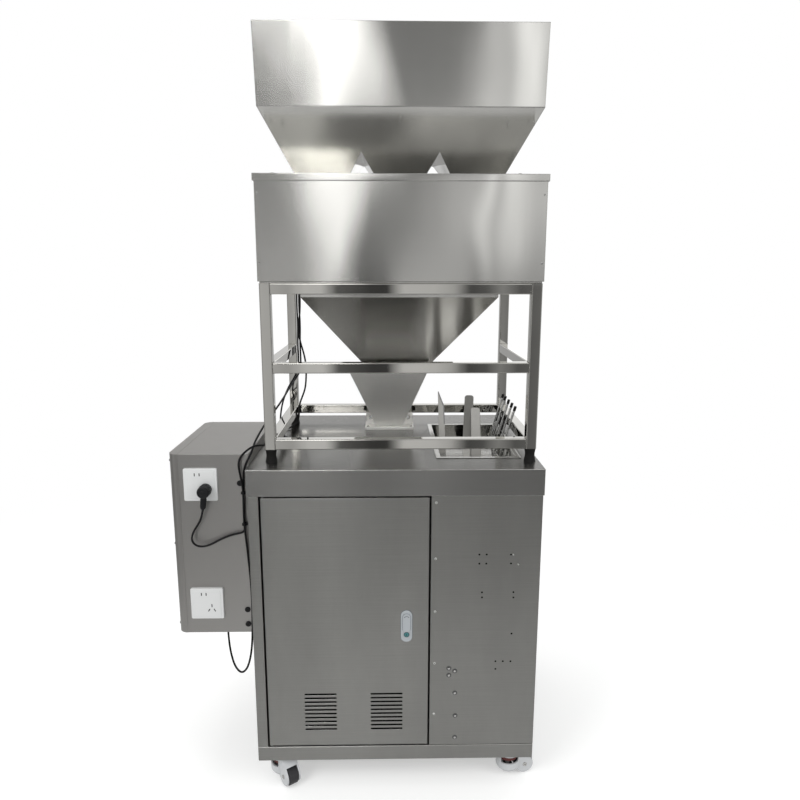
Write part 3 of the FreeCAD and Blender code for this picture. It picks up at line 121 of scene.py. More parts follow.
def make_cord(name, route, diameter):
    """Smooth round cord along its route, in place of the plain tube of the same name."""
    curve = bpy.data.curves.new(name, "CURVE")
    curve.dimensions = "3D"
    spline = curve.splines.new("NURBS")
    spline.points.add(len(route) - 1)
    for point, place in zip(spline.points, route):
        point.co = (*at(*place), 1.0)
    spline.order_u = 3
    spline.use_endpoint_u = True
    curve.resolution_u = 8
    curve.bevel_depth = diameter * MM / 2
    curve.bevel_resolution = 4
    curve.use_fill_caps = True
    line = bpy.data.objects.new(name + "_line", curve)
    bpy.context.scene.collection.objects.link(line)
    line.data.materials.append(looks["cord"])
    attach(line, "cabinet")
    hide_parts(name)


# Materials
STEEL_COLOUR = (0.55, 0.545, 0.522)
# Countertop: the same stainless steel darkened, as painted shade for the dim surroundings it reflects
TOP_SHADED_COLOUR = (0.32, 0.317, 0.305)
SATIN_COLOUR = (0.9, 0.89, 0.86)
CONE_COLOUR = (0.62, 0.613, 0.59)
# Cabinet: the same stainless steel darkened, as painted shade for the dim surroundings it reflects
CABINET_SHADED_COLOUR = (0.3, 0.298, 0.284)
# Pale colour painted on upward-facing rounded folds as a highlight
FOLD_HIGHLIGHT_COLOUR = (0.9, 0.89, 0.86)
BOX_COLOUR = (0.41, 0.4, 0.385)
POLISHED_COLOUR = (0.6, 0.59, 0.555)
ZINC_COLOUR = (0.42, 0.43, 0.44)
PAD_BLACK = (0.03, 0.03, 0.03)
FOOT_STEEL = (0.4, 0.4, 0.4)
THUMBWHEEL_RED = (0.11, 0.018, 0.015)
looks = {}


def add_node(tree, kind, settings=None, inputs=None):
    """New shader node with its settings and the values or links of its inputs."""
    made = tree.nodes.new(kind)
    for key, value in (settings or {}).items():
        setattr(made, key, value)
    for key, value in (inputs or {}).items():
        if isinstance(value, bpy.types.NodeSocket):
            tree.links.new(value, made.inputs[key])
        else:
            made.inputs[key].default_value = value
    return made


def ramp(tree, factor, stops, interpolation="EASE"):
    """Colour ramp over (position, grey or colour) stops."""
    made = add_node(tree, "ShaderNodeValToRGB", inputs={"Fac": factor})
    band = made.color_ramp
    band.interpolation = interpolation
    while len(band.elements) > 1:
        band.elements.remove(band.elements[-1])
    for n, (position, value) in enumerate(stops):
        colour = (value, value, value) if isinstance(value, float) else value
        element = band.elements[0] if n == 0 else band.elements.new(position)
        element.position = position
        element.color = (*colour, 1.0)
    return made.outputs["Color"]


def scaled_noise(tree, coords, scale, detail=2.0, roughness=0.5, seed=0.0):
    """Noise over coordinates stretched by a scale for each axis."""
    mapped = add_node(
        tree, "ShaderNodeMapping", inputs={"Vector": coords, "Scale": scale, "Location": (seed, seed, seed)}
    )
    noise = add_node(
        tree, "ShaderNodeTexNoise",
        inputs={"Vector": mapped.outputs["Vector"], "Scale": 1.0, "Detail": detail, "Roughness": roughness},
    )
    return noise.outputs["Fac"]


def ranged(tree, value, low, high):
    """Value from 0..1 moved to low..high."""
    made = add_node(
        tree, "ShaderNodeMapRange",
        inputs={"Value": value, "From Min": 0.2, "From Max": 0.8, "To Min": low, "To Max": high},
    )
    return made.outputs["Result"]


def math_node(tree, operation, first, second=0.0, clamp=False):
    """Math node with one or two inputs."""
    made = add_node(tree, "ShaderNodeMath", {"operation": operation, "use_clamp": clamp})
    for socket, value in zip(made.inputs, (first, second)):
        if isinstance(value, bpy.types.NodeSocket):
            tree.links.new(value, socket)
        else:
            socket.default_value = value
    return made.outputs["Value"]


def new_material(name):
    """Empty node material: (material, tree, its Principled shader, object coordinates)."""
    made = bpy.data.materials.new(name)
    made.use_nodes = True
    tree = made.node_tree
    coords = add_node(tree, "ShaderNodeTexCoord")
    return made, tree, tree.nodes["Principled BSDF"], coords


def tinted(tree, amount, colour, low, high):
    """Colour made darker or lighter by an amount from 0 to 1."""
    made = add_node(tree, "ShaderNodeMix", {"data_type": "RGBA"})
    tree.links.new(amount, made.inputs["Factor"])
    made.inputs["A"].default_value = (*[c * low for c in colour], 1.0)
    made.inputs["B"].default_value = (*[c * high for c in colour], 1.0)
    return made.outputs["Result"]


# Scale of the brushed grain along the sheet and across it, shares of smudge and grain in the colour,
# and how far up a rounded fold faces where a painted highlight goes into its colour
GRAIN_ALONG = 5.0
GRAIN_ACROSS = 420.0
SMUDGE_SHARE = 0.7
GRAIN_SHARE = 0.3
FOLD_STARTS = (0.12, 0.4)
FOLD_ENDS = (0.97, 0.9)


def brushed_metal(
    name, colour, roughness, anisotropy, wobble, grain_depth=3e-6, smudge=0.06, edge=2.6, painted_fold_highlights=False
):
    """Sheet steel brushed along its width, smudged and slightly wavy, with a painted highlight on
    upward-facing folds if asked.
    """
    made, tree, shader, coords = new_material(name)
    place = coords.outputs["Object"]
    facing = add_node(tree, "ShaderNodeSeparateXYZ", inputs={"Vector": coords.outputs["Normal"]})
    sideways = math_node(tree, "GREATER_THAN", math_node(tree, "ABSOLUTE", facing.outputs["X"]), 0.7)
    along_x = scaled_noise(tree, place, (GRAIN_ALONG, GRAIN_ACROSS, GRAIN_ACROSS), 1.0, 0.5)
    along_y = scaled_noise(tree, place, (GRAIN_ACROSS, GRAIN_ALONG, GRAIN_ACROSS), 1.0, 0.5)
    grain = add_node(tree, "ShaderNodeMix", {"data_type": "FLOAT"})
    tree.links.new(sideways, grain.inputs["Factor"])
    tree.links.new(along_x, grain.inputs["A"])
    tree.links.new(along_y, grain.inputs["B"])
    grain = grain.outputs["Result"]
    smudges = scaled_noise(tree, place, (7.5, 7.5, 2.2), 5.0, 0.6, 3.7)
    streaks = scaled_noise(tree, place, (26.0, 26.0, 1.6), 3.0, 0.55, 8.1)
    mixed = math_node(
        tree, "ADD",
        math_node(tree, "MULTIPLY", smudges, SMUDGE_SHARE), math_node(tree, "MULTIPLY", grain, GRAIN_SHARE),
    )
    painted = tinted(tree, mixed, colour, 1.0 - 2 * smudge, 1.0 + 2 * smudge)
    # Painted highlight: the colour goes towards pale where a rounded fold faces upwards
    if painted_fold_highlights:
        rising, level = [
            add_node(
                tree, "ShaderNodeMapRange",
                inputs={"Value": facing.outputs["Z"], "From Min": start, "From Max": end},
            ).outputs["Result"]
            for start, end in (FOLD_STARTS, FOLD_ENDS)
        ]
        fold_highlight = add_node(tree, "ShaderNodeMix", {"data_type": "RGBA"})
        tree.links.new(math_node(tree, "MULTIPLY", rising, level), fold_highlight.inputs["Factor"])
        tree.links.new(painted, fold_highlight.inputs["A"])
        fold_highlight.inputs["B"].default_value = (*FOLD_HIGHLIGHT_COLOUR, 1.0)
        painted = fold_highlight.outputs["Result"]
    tree.links.new(painted, shader.inputs["Base Color"])
    rough = math_node(
        tree, "ADD",
        ranged(tree, grain, roughness * 0.96, roughness * 1.04), ranged(tree, streaks, -0.015, 0.015),
    )
    tree.links.new(rough, shader.inputs["Roughness"])
    shader.inputs["Metallic"].default_value = 1.0
    shader.inputs["Anisotropic"].default_value = anisotropy
    upward = add_node(tree, "ShaderNodeCombineXYZ", inputs={"X": 0.0, "Y": 0.12, "Z": 1.0})
    tree.links.new(upward.outputs["Vector"], shader.inputs["Tangent"])
    waves = scaled_noise(tree, place, (3.1, 3.1, 2.3), 1.0, 0.4, 1.3)
    rounded = add_node(tree, "ShaderNodeBevel", {"samples": 4}, {"Radius": edge * MM})
    sheet = add_node(
        tree, "ShaderNodeBump",
        inputs={"Strength": 1.0, "Distance": wobble, "Height": waves, "Normal": rounded.outputs["Normal"]},
    )
    scratch = add_node(
        tree, "ShaderNodeBump",
        inputs={"Strength": 1.0, "Distance": grain_depth, "Height": grain, "Normal": sheet.outputs["Normal"]},
    )
    tree.links.new(scratch.outputs["Normal"], shader.inputs["Normal"])
    looks[name] = made


def polished_metal(name, colour, roughness, wobble):
    """Polished tube or turned metal: a near mirror with fine wear and a slight waviness."""
    made, tree, shader, coords = new_material(name)
    place = coords.outputs["Object"]
    wear = scaled_noise(tree, place, (40.0, 40.0, 40.0), 6.0, 0.7)
    haze = scaled_noise(tree, place, (7.0, 7.0, 5.0), 3.0, 0.5, 5.0)
    tree.links.new(tinted(tree, haze, colour, 0.86, 1.1), shader.inputs["Base Color"])
    tree.links.new(ranged(tree, wear, roughness * 0.6, roughness * 1.6), shader.inputs["Roughness"])
    shader.inputs["Metallic"].default_value = 1.0
    waves = scaled_noise(tree, place, (11.0, 11.0, 8.0), 2.0, 0.5, 2.0)
    bump = add_node(tree, "ShaderNodeBump", inputs={"Strength": 1.0, "Distance": wobble, "Height": waves})
    tree.links.new(bump.outputs["Normal"], shader.inputs["Normal"])
    looks[name] = made


def moulded(name, colour, roughness, specular=0.5, pebble=0.0, pebble_size=900.0, variation=0.06):
    """Plastic, rubber or paint with faint mottling and a fine surface texture."""
    made, tree, shader, coords = new_material(name)
    place = coords.outputs["Object"]
    mottle = scaled_noise(tree, place, (14.0, 14.0, 14.0), 4.0, 0.6)
    tree.links.new(tinted(tree, mottle, colour, 1.0 - variation, 1.0 + variation), shader.inputs["Base Color"])
    fine = scaled_noise(tree, place, (pebble_size, pebble_size, pebble_size), 2.0, 0.5)
    tree.links.new(ranged(tree, fine, roughness - 0.06, roughness + 0.06), shader.inputs["Roughness"])
    shader.inputs["Specular IOR Level"].default_value = specular
    if pebble:
        bump = add_node(tree, "ShaderNodeBump", inputs={"Strength": 1.0, "Distance": pebble, "Height": fine})
        tree.links.new(bump.outputs["Normal"], shader.inputs["Normal"])
    looks[name] = made


def caster_foot_look():
    """Levelling foot: black pad, steel screw and dark red thumbwheel, told apart by height."""
    made, tree, shader, coords = new_material("caster_foot")
    height = add_node(tree, "ShaderNodeSeparateXYZ", inputs={"Vector": coords.outputs["Object"]}).outputs["Z"]
    bands = [(0.0, PAD_BLACK), (0.24, FOOT_STEEL), (0.5, THUMBWHEEL_RED), (0.626, FOOT_STEEL)]
    colour = ramp(tree, math_node(tree, "MULTIPLY", height, 10.0), bands, "CONSTANT")
    tree.links.new(colour, shader.inputs["Base Color"])
    fine = scaled_noise(tree, coords.outputs["Object"], (300.0, 300.0, 300.0))
    tree.links.new(ranged(tree, fine, 0.35, 0.5), shader.inputs["Roughness"])
    looks["caster_foot"] = made


def make_looks():
    """All materials."""
    brushed_metal("sheet", STEEL_COLOUR, 0.105, 1.0, 0.0065, smudge=0.035)
    brushed_metal("top", TOP_SHADED_COLOUR, 0.24, 0.9, 0.001, 1e-5, 0.08, painted_fold_highlights=True)
    brushed_metal("cone", CONE_COLOUR, 0.2, 0.8, 0.002, smudge=0.04)
    brushed_metal("cabinet", CABINET_SHADED_COLOUR, 0.31, 0.9, 0.0016, 2.5e-5, 0.12, painted_fold_highlights=True)
    brushed_metal("satin", SATIN_COLOUR, 0.48, 0.4, 0.001, smudge=0.05)
    brushed_metal("box", BOX_COLOUR, 0.4, 0.5, 0.0004, smudge=0.03)
    brushed_metal("tool", (0.27, 0.265, 0.25), 0.3, 0.5, 0.0002)
    polished_metal("polished", POLISHED_COLOUR, 0.028, 0.0001)
    polished_metal("rod", (0.55, 0.55, 0.54), 0.2, 0.0)
    polished_metal("screw", (0.6, 0.6, 0.58), 0.22, 0.0)
    polished_metal("zinc", ZINC_COLOUR, 0.35, 0.0)
    moulded("rubber", (0.011, 0.0105, 0.01), 0.62, 0.2, 2e-5, 700.0)
    moulded("cord", (0.007, 0.007, 0.0075), 0.45, 0.2, 1e-5, 500.0)
    moulded("black_plastic", (0.009, 0.009, 0.01), 0.4, 0.25, 1e-5, 900.0)
    moulded("white_plastic", (0.64, 0.645, 0.64), 0.3, 0.5, 0.0, 900.0, 0.015)
    moulded("lock_grey", (0.38, 0.4, 0.42), 0.32, 0.5, 0.0, 900.0, 0.03)
    moulded("teal", (0.05, 0.17, 0.18), 0.3)
    moulded("caster_grey", (0.6, 0.61, 0.62), 0.42, 0.5, 2e-5, 500.0, 0.05)
    moulded("wheel_black", (0.022, 0.022, 0.024), 0.45, 0.5, 1e-5, 600.0)
    # Near-black painted shade for the inside of holes, slots, recesses and gaps
    moulded("hole", (0.003, 0.003, 0.003), 0.92, 0.0)
    # Near-black painted shade seen through the door's vents
    moulded("vent_shade_black", (0.002, 0.002, 0.002), 0.92, 0.0, 4e-5, 1200.0)
    moulded("mark_grey", (0.13, 0.145, 0.16), 0.45, 0.4)
    polished_metal("bright_screw", (0.86, 0.86, 0.84), 0.42, 0.0)
    moulded("thumb_red", THUMBWHEEL_RED, 0.42, 0.5)
    polished_metal("dark_steel", (0.16, 0.16, 0.16), 0.35, 0.0)
    polished_metal("weld", (0.34, 0.33, 0.31), 0.3, 0.0)
    caster_foot_look()


NODE_LOOKS = {
    "sheet": [
        "housing_base", "feeder_housing", "feeder_lid", "hopper_band", "hopper_taper", "tool_tray",
    ],
    "cone": ["collecting_cone"],
    "satin": ["lower_funnel", "funnel_flange"],
    "cabinet": [
        "cabinet_base", "cabinet_left_side", "cabinet_right_side", "cabinet_back", "centre_post", "header",
        "front_panel", "door_panel",
    ],
    "top": ["countertop"],
    "box": ["electrical_box", "box_cover"],
    "tool": ["tool_blade", "tool_bars"],
    "polished": ["frame_legs", "frame_cross_rails", "frame_side_rails"],
    "zinc": ["hinge_pins", "box_strips", "caster_plates"],
    "rod": ["tool_rods"],
    "rubber": ["frame_feet"],
    "lock_grey": ["door_lock"],
    "white_plastic": ["upper_socket", "lower_socket"],
    "black_plastic": ["cable_glands", "plug", "cable_ties"],
}
CORNERS = ("front_left", "front_right", "back_left", "back_right")
for corner in CORNERS:
    NODE_LOOKS.setdefault("caster_grey", []).append("caster_housing_" + corner)
    NODE_LOOKS.setdefault("caster_foot", []).append("caster_foot_" + corner)
    NODE_LOOKS.setdefault("wheel_black", []).append("caster_wheel_" + corner)

# Small edge roundings of the carried-over nodes, in millimetres
EDGE_ROUNDS = {
    "sheet": 0.9, "satin": 0.9, "cone": 0.9, "top": 0.95, "cabinet": 0.95, "box": 0.9, "tool": 0.4,
}


def dress_nodes():
    """Gives each carried-over node its material and softens the edges of the sheet metal."""
    for look, names in NODE_LOOKS.items():
        for name in names:
            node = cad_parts[name]
            for slot in node.material_slots:
                slot.material = looks[look]
            width = EDGE_ROUNDS.get(look, 0.0)
            if width:
                weld = node.modifiers.new("weld", "WELD")
                weld.merge_threshold = 1e-5
                bevel = node.modifiers.new("round", "BEVEL")
                bevel.width = width * MM
                bevel.segments = 2
                bevel.limit_method = "ANGLE"
                bevel.angle_limit = math.radians(35)
                bevel.miter_outer = "MITER_ARC"
                node.modifiers.new("normals", "WEIGHTED_NORMAL")


# Studio: floor, light and what the metal reflects
FLOOR_RADIUS = 3.4
FLOOR_FADE_FROM = 0.36
FLOOR_FADE_TO = 0.85
FLOOR_COLOUR = (0.72, 0.72, 0.71)
FLOOR_LIFT = 0.38
# Metal shows the floor mostly as a plain glow, which is darker far out
FLOOR_GLOW = 0.7
FLOOR_GLOW_SHARE = 0.8
FLOOR_GLOW_STOPS = [(0.0, 0.8), (0.14, 0.96), (0.34, 1.04), (0.52, 0.4), (1.0, 0.3)]


def make_floor():
    """Pale round floor that keeps the shadow near the machine and fades into the white background."""
    made, tree, shader, coords = new_material("floor")
    tree.nodes.remove(shader)
    flat = add_node(tree, "ShaderNodeVectorMath", {"operation": "LENGTH"}, {0: coords.outputs["Object"]})
    distance = math_node(tree, "DIVIDE", flat.outputs["Value"], FLOOR_RADIUS)
    fade = add_node(
        tree, "ShaderNodeMapRange", {"interpolation_type": "SMOOTHSTEP"},
        {"Value": distance, "From Min": FLOOR_FADE_FROM, "From Max": FLOOR_FADE_TO},
    ).outputs["Result"]
    path = add_node(tree, "ShaderNodeLightPath").outputs
    seen, shiny = path["Is Camera Ray"], path["Is Glossy Ray"]
    speckle = scaled_noise(tree, coords.outputs["Object"], (60.0, 60.0, 60.0), 4.0, 0.6)
    far = ramp(tree, distance, FLOOR_GLOW_STOPS)
    dimmer = add_node(tree, "ShaderNodeMix", {"data_type": "RGBA", "blend_type": "MULTIPLY"})
    tree.links.new(shiny, dimmer.inputs["Factor"])
    tree.links.new(tinted(tree, speckle, FLOOR_COLOUR, 0.985, 1.015), dimmer.inputs["A"])
    tree.links.new(far, dimmer.inputs["B"])
    plain = add_node(tree, "ShaderNodeBsdfDiffuse", inputs={"Color": dimmer.outputs["Result"]})
    lift = add_node(tree, "ShaderNodeEmission", inputs={"Color": (1.0, 1.0, 1.0, 1.0)})
    tree.links.new(math_node(tree, "MULTIPLY", seen, FLOOR_LIFT), lift.inputs["Strength"])
    raised = add_node(tree, "ShaderNodeAddShader")
    tree.links.new(plain.outputs["BSDF"], raised.inputs[0])
    tree.links.new(lift.outputs["Emission"], raised.inputs[1])
    white = add_node(tree, "ShaderNodeEmission", inputs={"Color": (1.0, 1.0, 1.0, 1.0), "Strength": 1.0})
    glow = add_node(tree, "ShaderNodeEmission", inputs={"Color": far, "Strength": FLOOR_GLOW})
    shown = add_node(tree, "ShaderNodeMixShader")
    tree.links.new(math_node(tree, "MULTIPLY", shiny, FLOOR_GLOW_SHARE), shown.inputs["Fac"])
    tree.links.new(raised.outputs["Shader"], shown.inputs[1])
    tree.links.new(glow.outputs["Emission"], shown.inputs[2])
    mixed = add_node(tree, "ShaderNodeMixShader")
    tree.links.new(math_node(tree, "MULTIPLY", fade, seen), mixed.inputs["Fac"])
    tree.links.new(shown.outputs["Shader"], mixed.inputs[1])
    tree.links.new(white.outputs["Emission"], mixed.inputs[2])
    tree.links.new(mixed.outputs["Shader"], tree.nodes["Material Output"].inputs["Surface"])
    bpy.ops.mesh.primitive_circle_add(vertices=96, radius=FLOOR_RADIUS, fill_type="NGON")
    floor = bpy.context.object
    floor.name = "floor"
    floor.data.materials.append(made)


def degrees_share(angle):
    """Azimuth in degrees, 0 towards the viewer, as a share of the full turn from -180."""
    return angle / 360.0 + 0.5


# What the metal shows of the studio, as brightness by azimuth in degrees: windows, lamps and walls
# high up, at eye height and below it
HIGH_RING = [
    (-180, 0.95), (-150, 0.3), (-128, 0.28), (-118, 1.6), (-108, 1.6), (-98, 0.3), (-60, 1.4), (-50, 1.4),
    (-42, 0.3), (-15, 0.26), (-12.2, 0.24), (-10.6, 0.34), (-8.0, 0.44), (-6.8, 1.2), (-5.9, 2.1), (-2.0, 2.1),
    (-0.3, 1.3), (0.6, 0.46), (1.5, 0.3), (4.9, 0.28), (7.2, 0.5), (8.2, 0.7), (9.1, 1.6), (10.0, 0.75),
    (11.5, 1.9), (13.0, 0.8), (48, 1.4), (58, 1.4), (66, 0.3), (108, 1.5), (160, 0.95),
]
EYE_RING = [
    (-180, 0.7), (-160, 0.7), (-150, 0.25), (-128, 0.3), (-118, 1.2), (-108, 1.2), (-98, 0.25), (-70, 0.3),
    (-58, 1.1), (-50, 1.1), (-42, 0.3), (-16, 0.4), (-10.2, 0.42), (-7.7, 0.6), (-6.1, 1.5), (-3.9, 1.8),
    (-2.4, 0.75), (-1.2, 0.24), (0.8, 0.36), (3.0, 0.5), (5.3, 0.62), (6.4, 1.2), (7.6, 0.55), (8.7, 1.45),
    (9.7, 0.8), (10.9, 1.3), (12.4, 1.1), (15, 0.5), (38, 0.3), (55, 1.2), (70, 0.3), (115, 1.3),
]
LOW_RING = [
    (-180, 0.5), (-150, 0.22), (-120, 0.5), (-95, 0.2), (-70, 0.42), (-52, 0.6), (-38, 0.2), (-24, 0.3),
    (-14, 0.6), (-10.0, 0.6), (-9.6, 0.45), (-7.6, 0.5), (-7.3, 0.72), (-4.9, 0.7), (-4.5, 0.14), (-1.2, 0.06),
    (1.0, 0.05), (1.4, 0.7), (5.5, 0.66), (5.9, 0.07), (8.6, 0.12), (8.9, 0.32), (10.2, 0.3), (10.5, 0.12),
    (16, 0.25), (24, 0.5), (40, 0.2), (60, 0.6), (84, 0.25), (110, 0.5), (152, 0.5),
]
# Ceiling by its sideways place over its height: rows of lamps and a dark beam
CEILING_STRIPES = [
    (-1.0, 0.9), (-0.5, 1.0), (-0.2, 1.2), (-0.12, 1.35), (-0.075, 0.6), (-0.05, 0.36), (-0.015, 0.32),
    (0.02, 0.9), (0.055, 1.25), (0.1, 1.15), (0.15, 0.92), (0.3, 0.85), (1.0, 0.9),
]
BACK_CEILING_GAIN = 1.6
HIGH_LAMP = (-0.108, -0.9, 0.425)
HIGH_LAMP_RIM, HIGH_LAMP_CORE = 0.9972, 0.9988
HIGH_LAMP_STRENGTH = 11.0
UPPER_WALL = 0.17
ZENITH = 0.3


def plain_colour(tree, grey):
    """Output of one grey."""
    made = add_node(tree, "ShaderNodeRGB").outputs["Color"]
    made.default_value = (grey, grey, grey, 1.0)
    return made


def make_world():
    """White to the camera, plain soft light for diffuse surfaces, and a studio with lamps in metal."""
    world = bpy.data.worlds.new("studio")
    bpy.context.scene.world = world
    world.use_nodes = True
    world.cycles.sampling_method = "NONE"  # what a ray sees depends on its kind, so it isn't sampled as a lamp
    tree = world.node_tree
    tree.nodes.clear()
    direction = add_node(tree, "ShaderNodeTexCoord").outputs["Generated"]
    parts = add_node(tree, "ShaderNodeSeparateXYZ", inputs={"Vector": direction}).outputs
    ahead = math_node(tree, "MULTIPLY", parts["Y"], -1.0)
    azimuth = math_node(tree, "ARCTAN2", parts["X"], ahead)
    turn = math_node(tree, "ADD", math_node(tree, "DIVIDE", azimuth, 2 * math.pi), 0.5)
    high = ramp(tree, turn, [(degrees_share(a), float(v)) for a, v in HIGH_RING])
    eye = ramp(tree, turn, [(degrees_share(a), float(v)) for a, v in EYE_RING])
    low = ramp(tree, turn, [(degrees_share(a), float(v)) for a, v in LOW_RING])
    sideways = math_node(tree, "DIVIDE", parts["X"], math_node(tree, "MAXIMUM", parts["Z"], 0.05))
    across = math_node(tree, "MULTIPLY_ADD", sideways, 0.5, clamp=True)
    across.node.inputs[2].default_value = 0.5
    ceiling = ramp(tree, across, [(u / 2 + 0.5, float(v)) for u, v in CEILING_STRIPES])
    gain = add_node(tree, "ShaderNodeMapRange", inputs={
        "Value": parts["Y"], "From Min": 0.0, "From Max": 0.3, "To Min": 1.0, "To Max": BACK_CEILING_GAIN,
    }).outputs["Result"]
    scaled = add_node(tree, "ShaderNodeVectorMath", {"operation": "SCALE"}, {0: ceiling, "Scale": gain})
    ceiling = scaled.outputs["Vector"]
    toward = add_node(tree, "ShaderNodeVectorMath", {"operation": "DOT_PRODUCT"}, {0: direction, 1: HIGH_LAMP})
    lamp = add_node(
        tree, "ShaderNodeMapRange", {"interpolation_type": "SMOOTHSTEP"},
        {
            "Value": toward.outputs["Value"], "From Min": HIGH_LAMP_RIM, "From Max": HIGH_LAMP_CORE,
            "To Max": HIGH_LAMP_STRENGTH,
        },
    ).outputs["Result"]

    def blend(below, above, start, end):
        """Colour that changes from one to the other between two heights."""
        share = add_node(
            tree, "ShaderNodeMapRange", {"interpolation_type": "SMOOTHSTEP"},
            {"Value": parts["Z"], "From Min": start, "From Max": end},
        ).outputs["Result"]
        mix = add_node(tree, "ShaderNodeMix", {"data_type": "RGBA"})
        tree.links.new(share, mix.inputs["Factor"])
        tree.links.new(below, mix.inputs["A"])
        tree.links.new(above, mix.inputs["B"])
        return mix.outputs["Result"]

    wall = plain_colour(tree, UPPER_WALL)
    zenith = plain_colour(tree, ZENITH)
    around = blend(blend(blend(low, eye, -0.02, 0.008), high, 0.1, 0.24), wall, 0.33, 0.4)
    around = blend(blend(around, ceiling, 0.5, 0.72), zenith, 0.94, 0.956)
    lighter = add_node(tree, "ShaderNodeMix", {"data_type": "RGBA", "blend_type": "ADD"}, {"Factor": 1.0})
    tree.links.new(around, lighter.inputs["A"])
    tree.links.new(lamp, lighter.inputs["B"])
    reflected = add_node(tree, "ShaderNodeBackground", inputs={"Color": lighter.outputs["Result"]})
    plain = add_node(tree, "ShaderNodeBackground", inputs={"Color": (0.86, 0.87, 0.88, 1.0), "Strength": 0.8})
    white = add_node(tree, "ShaderNodeBackground", inputs={"Color": (1.0, 1.0, 1.0, 1.0), "Strength": 1.0})
    path = add_node(tree, "ShaderNodeLightPath").outputs
    lit = add_node(tree, "ShaderNodeMixShader")
    tree.links.new(path["Is Glossy Ray"], lit.inputs["Fac"])
    tree.links.new(plain.outputs["Background"], lit.inputs[1])
    tree.links.new(reflected.outputs["Background"], lit.inputs[2])
    shown = add_node(tree, "ShaderNodeMixShader")
    tree.links.new(path["Is Camera Ray"], shown.inputs["Fac"])
    tree.links.new(lit.outputs["Shader"], shown.inputs[1])
    tree.links.new(white.outputs["Background"], shown.inputs[2])
    output = add_node(tree, "ShaderNodeOutputWorld")
    tree.links.new(shown.outputs["Shader"], output.inputs["Surface"])


def area_lamp(name, place, aim, size, power):
    """Square soft lamp aimed at a point; the camera doesn't see it."""
    data = bpy.data.lights.new(name, "AREA")
    data.shape = "RECTANGLE"
    data.size, data.size_y = size
    data.energy = power
    lamp = bpy.data.objects.new(name, data)
    bpy.context.scene.collection.objects.link(lamp)
    lamp.location = place
    lamp.rotation_mode = "QUATERNION"
    lamp.rotation_quaternion = (Vector(aim) - Vector(place)).to_track_quat("-Z", "Y")
    lamp.visible_camera = False
    lamp.visible_glossy = False


def make_lamps():
    """Large key lamp from the upper left, a weaker fill from the right and one from above."""
    area_lamp("key", (-2.4, -2.6, 3.0), (0.0, 0.0, 0.9), (2.0, 2.0), 70.0)
    area_lamp("fill", (2.8, -2.0, 2.0), (0.0, 0.0, 0.9), (1.8, 1.8), 28.0)
    area_lamp("top", (0.0, 0.6, 4.2), (0.0, 0.0, 1.0), (2.4, 2.4), 40.0)


# Small parts that the solids leave out

MOUNTED = Vector((0.0, -1.0, 0.0))
SCREW_HEAD = [(0.0, 1.6), (1.4, 1.55), (2.6, 1.2), (3.3, 0.5), (3.4, 0.0), (3.4, -0.3), (0.0, -0.3)]
SMALL_SCREW_HEAD = [(0.0, 1.3), (1.2, 1.25), (2.2, 0.9), (2.7, 0.3), (2.7, -0.3), (0.0, -0.3)]
HEX_BOLT = [(0.0, 4.0), (4.2, 4.0), (5.2, 3.5), (5.2, -0.3), (0.0, -0.3)]
WASHER = [(0.0, 0.9), (7.0, 0.9), (7.4, 0.5), (7.4, -0.3), (0.0, -0.3)]
HOLE_DISC = [(0.0, 0.1), (2.5, 0.1), (2.5, -0.3), (0.0, -0.3)]
STUD = [(0.0, 5.0), (1.5, 5.0), (1.9, 4.6), (1.9, -0.3), (0.0, -0.3)]
PANEL_WASHER = [(0.0, 0.4), (6.4, 0.4), (6.8, 0.0), (6.8, -0.3), (0.0, -0.3)]
PANEL_BOLT = [(0.0, 2.6), (2.6, 2.5), (3.5, 1.9), (3.6, 0.0)]
PLATE_BOLT = [(0.0, 3.0), (2.4, 2.9), (3.7, 2.0), (4.0, 0.4), (4.0, -0.3)]
GLAND_NUT = [(0.0, -0.4), (9.4, 0.0), (9.9, 0.8), (9.9, 4.6), (9.4, 5.2), (6.9, 5.2)]
GLAND_SLEEVE = [(6.6, -3.0), (5.0, 2.0), (3.4, 5.5), (2.8, 7.0)]
RECESS_WIDTH = 0.7
RECESS_LENGTH = 3.4


def add_turned(mesh, place, axis, profile, steps=20, start=0.0):
    """Adds a profile of (radius, height) points turned about an axis through a place."""
    turn = Vector(axis).to_track_quat("Z", "X").to_matrix()
    rings = []
    for radius, height in profile:
        count = steps if radius > 0 else 1
        ring = []
        for n in range(count):
            angle = start + 2 * math.pi * n / steps
            local = Vector((radius * math.cos(angle), radius * math.sin(angle), height)) * MM
            ring.append(mesh.verts.new(Vector(place) + turn @ local))
        rings.append(ring)
    for low, high in zip(rings, rings[1:]):
        for n in range(steps):
            a, b = low[n % len(low)], low[(n + 1) % len(low)]
            c, d = high[(n + 1) % len(high)], high[n % len(high)]
            corners = [v for k, v in enumerate((a, b, c, d)) if v not in (a, b, c, d)[:k]]
            if len(corners) > 2:
                mesh.faces.new(corners)


def add_block(mesh, place, size, turn=None):
    """Adds a box of a size in millimetres about a place, turned by a matrix if there is one."""
    made = bmesh.ops.create_cube(mesh, size=1.0)["verts"]
    scale = Matrix.Diagonal((size[0] * MM, size[1] * MM, size[2] * MM, 1.0))
    turn = turn.to_4x4() if turn else Matrix.Identity(4)
    bmesh.ops.transform(mesh, matrix=Matrix.Translation(place) @ turn @ scale, verts=made)


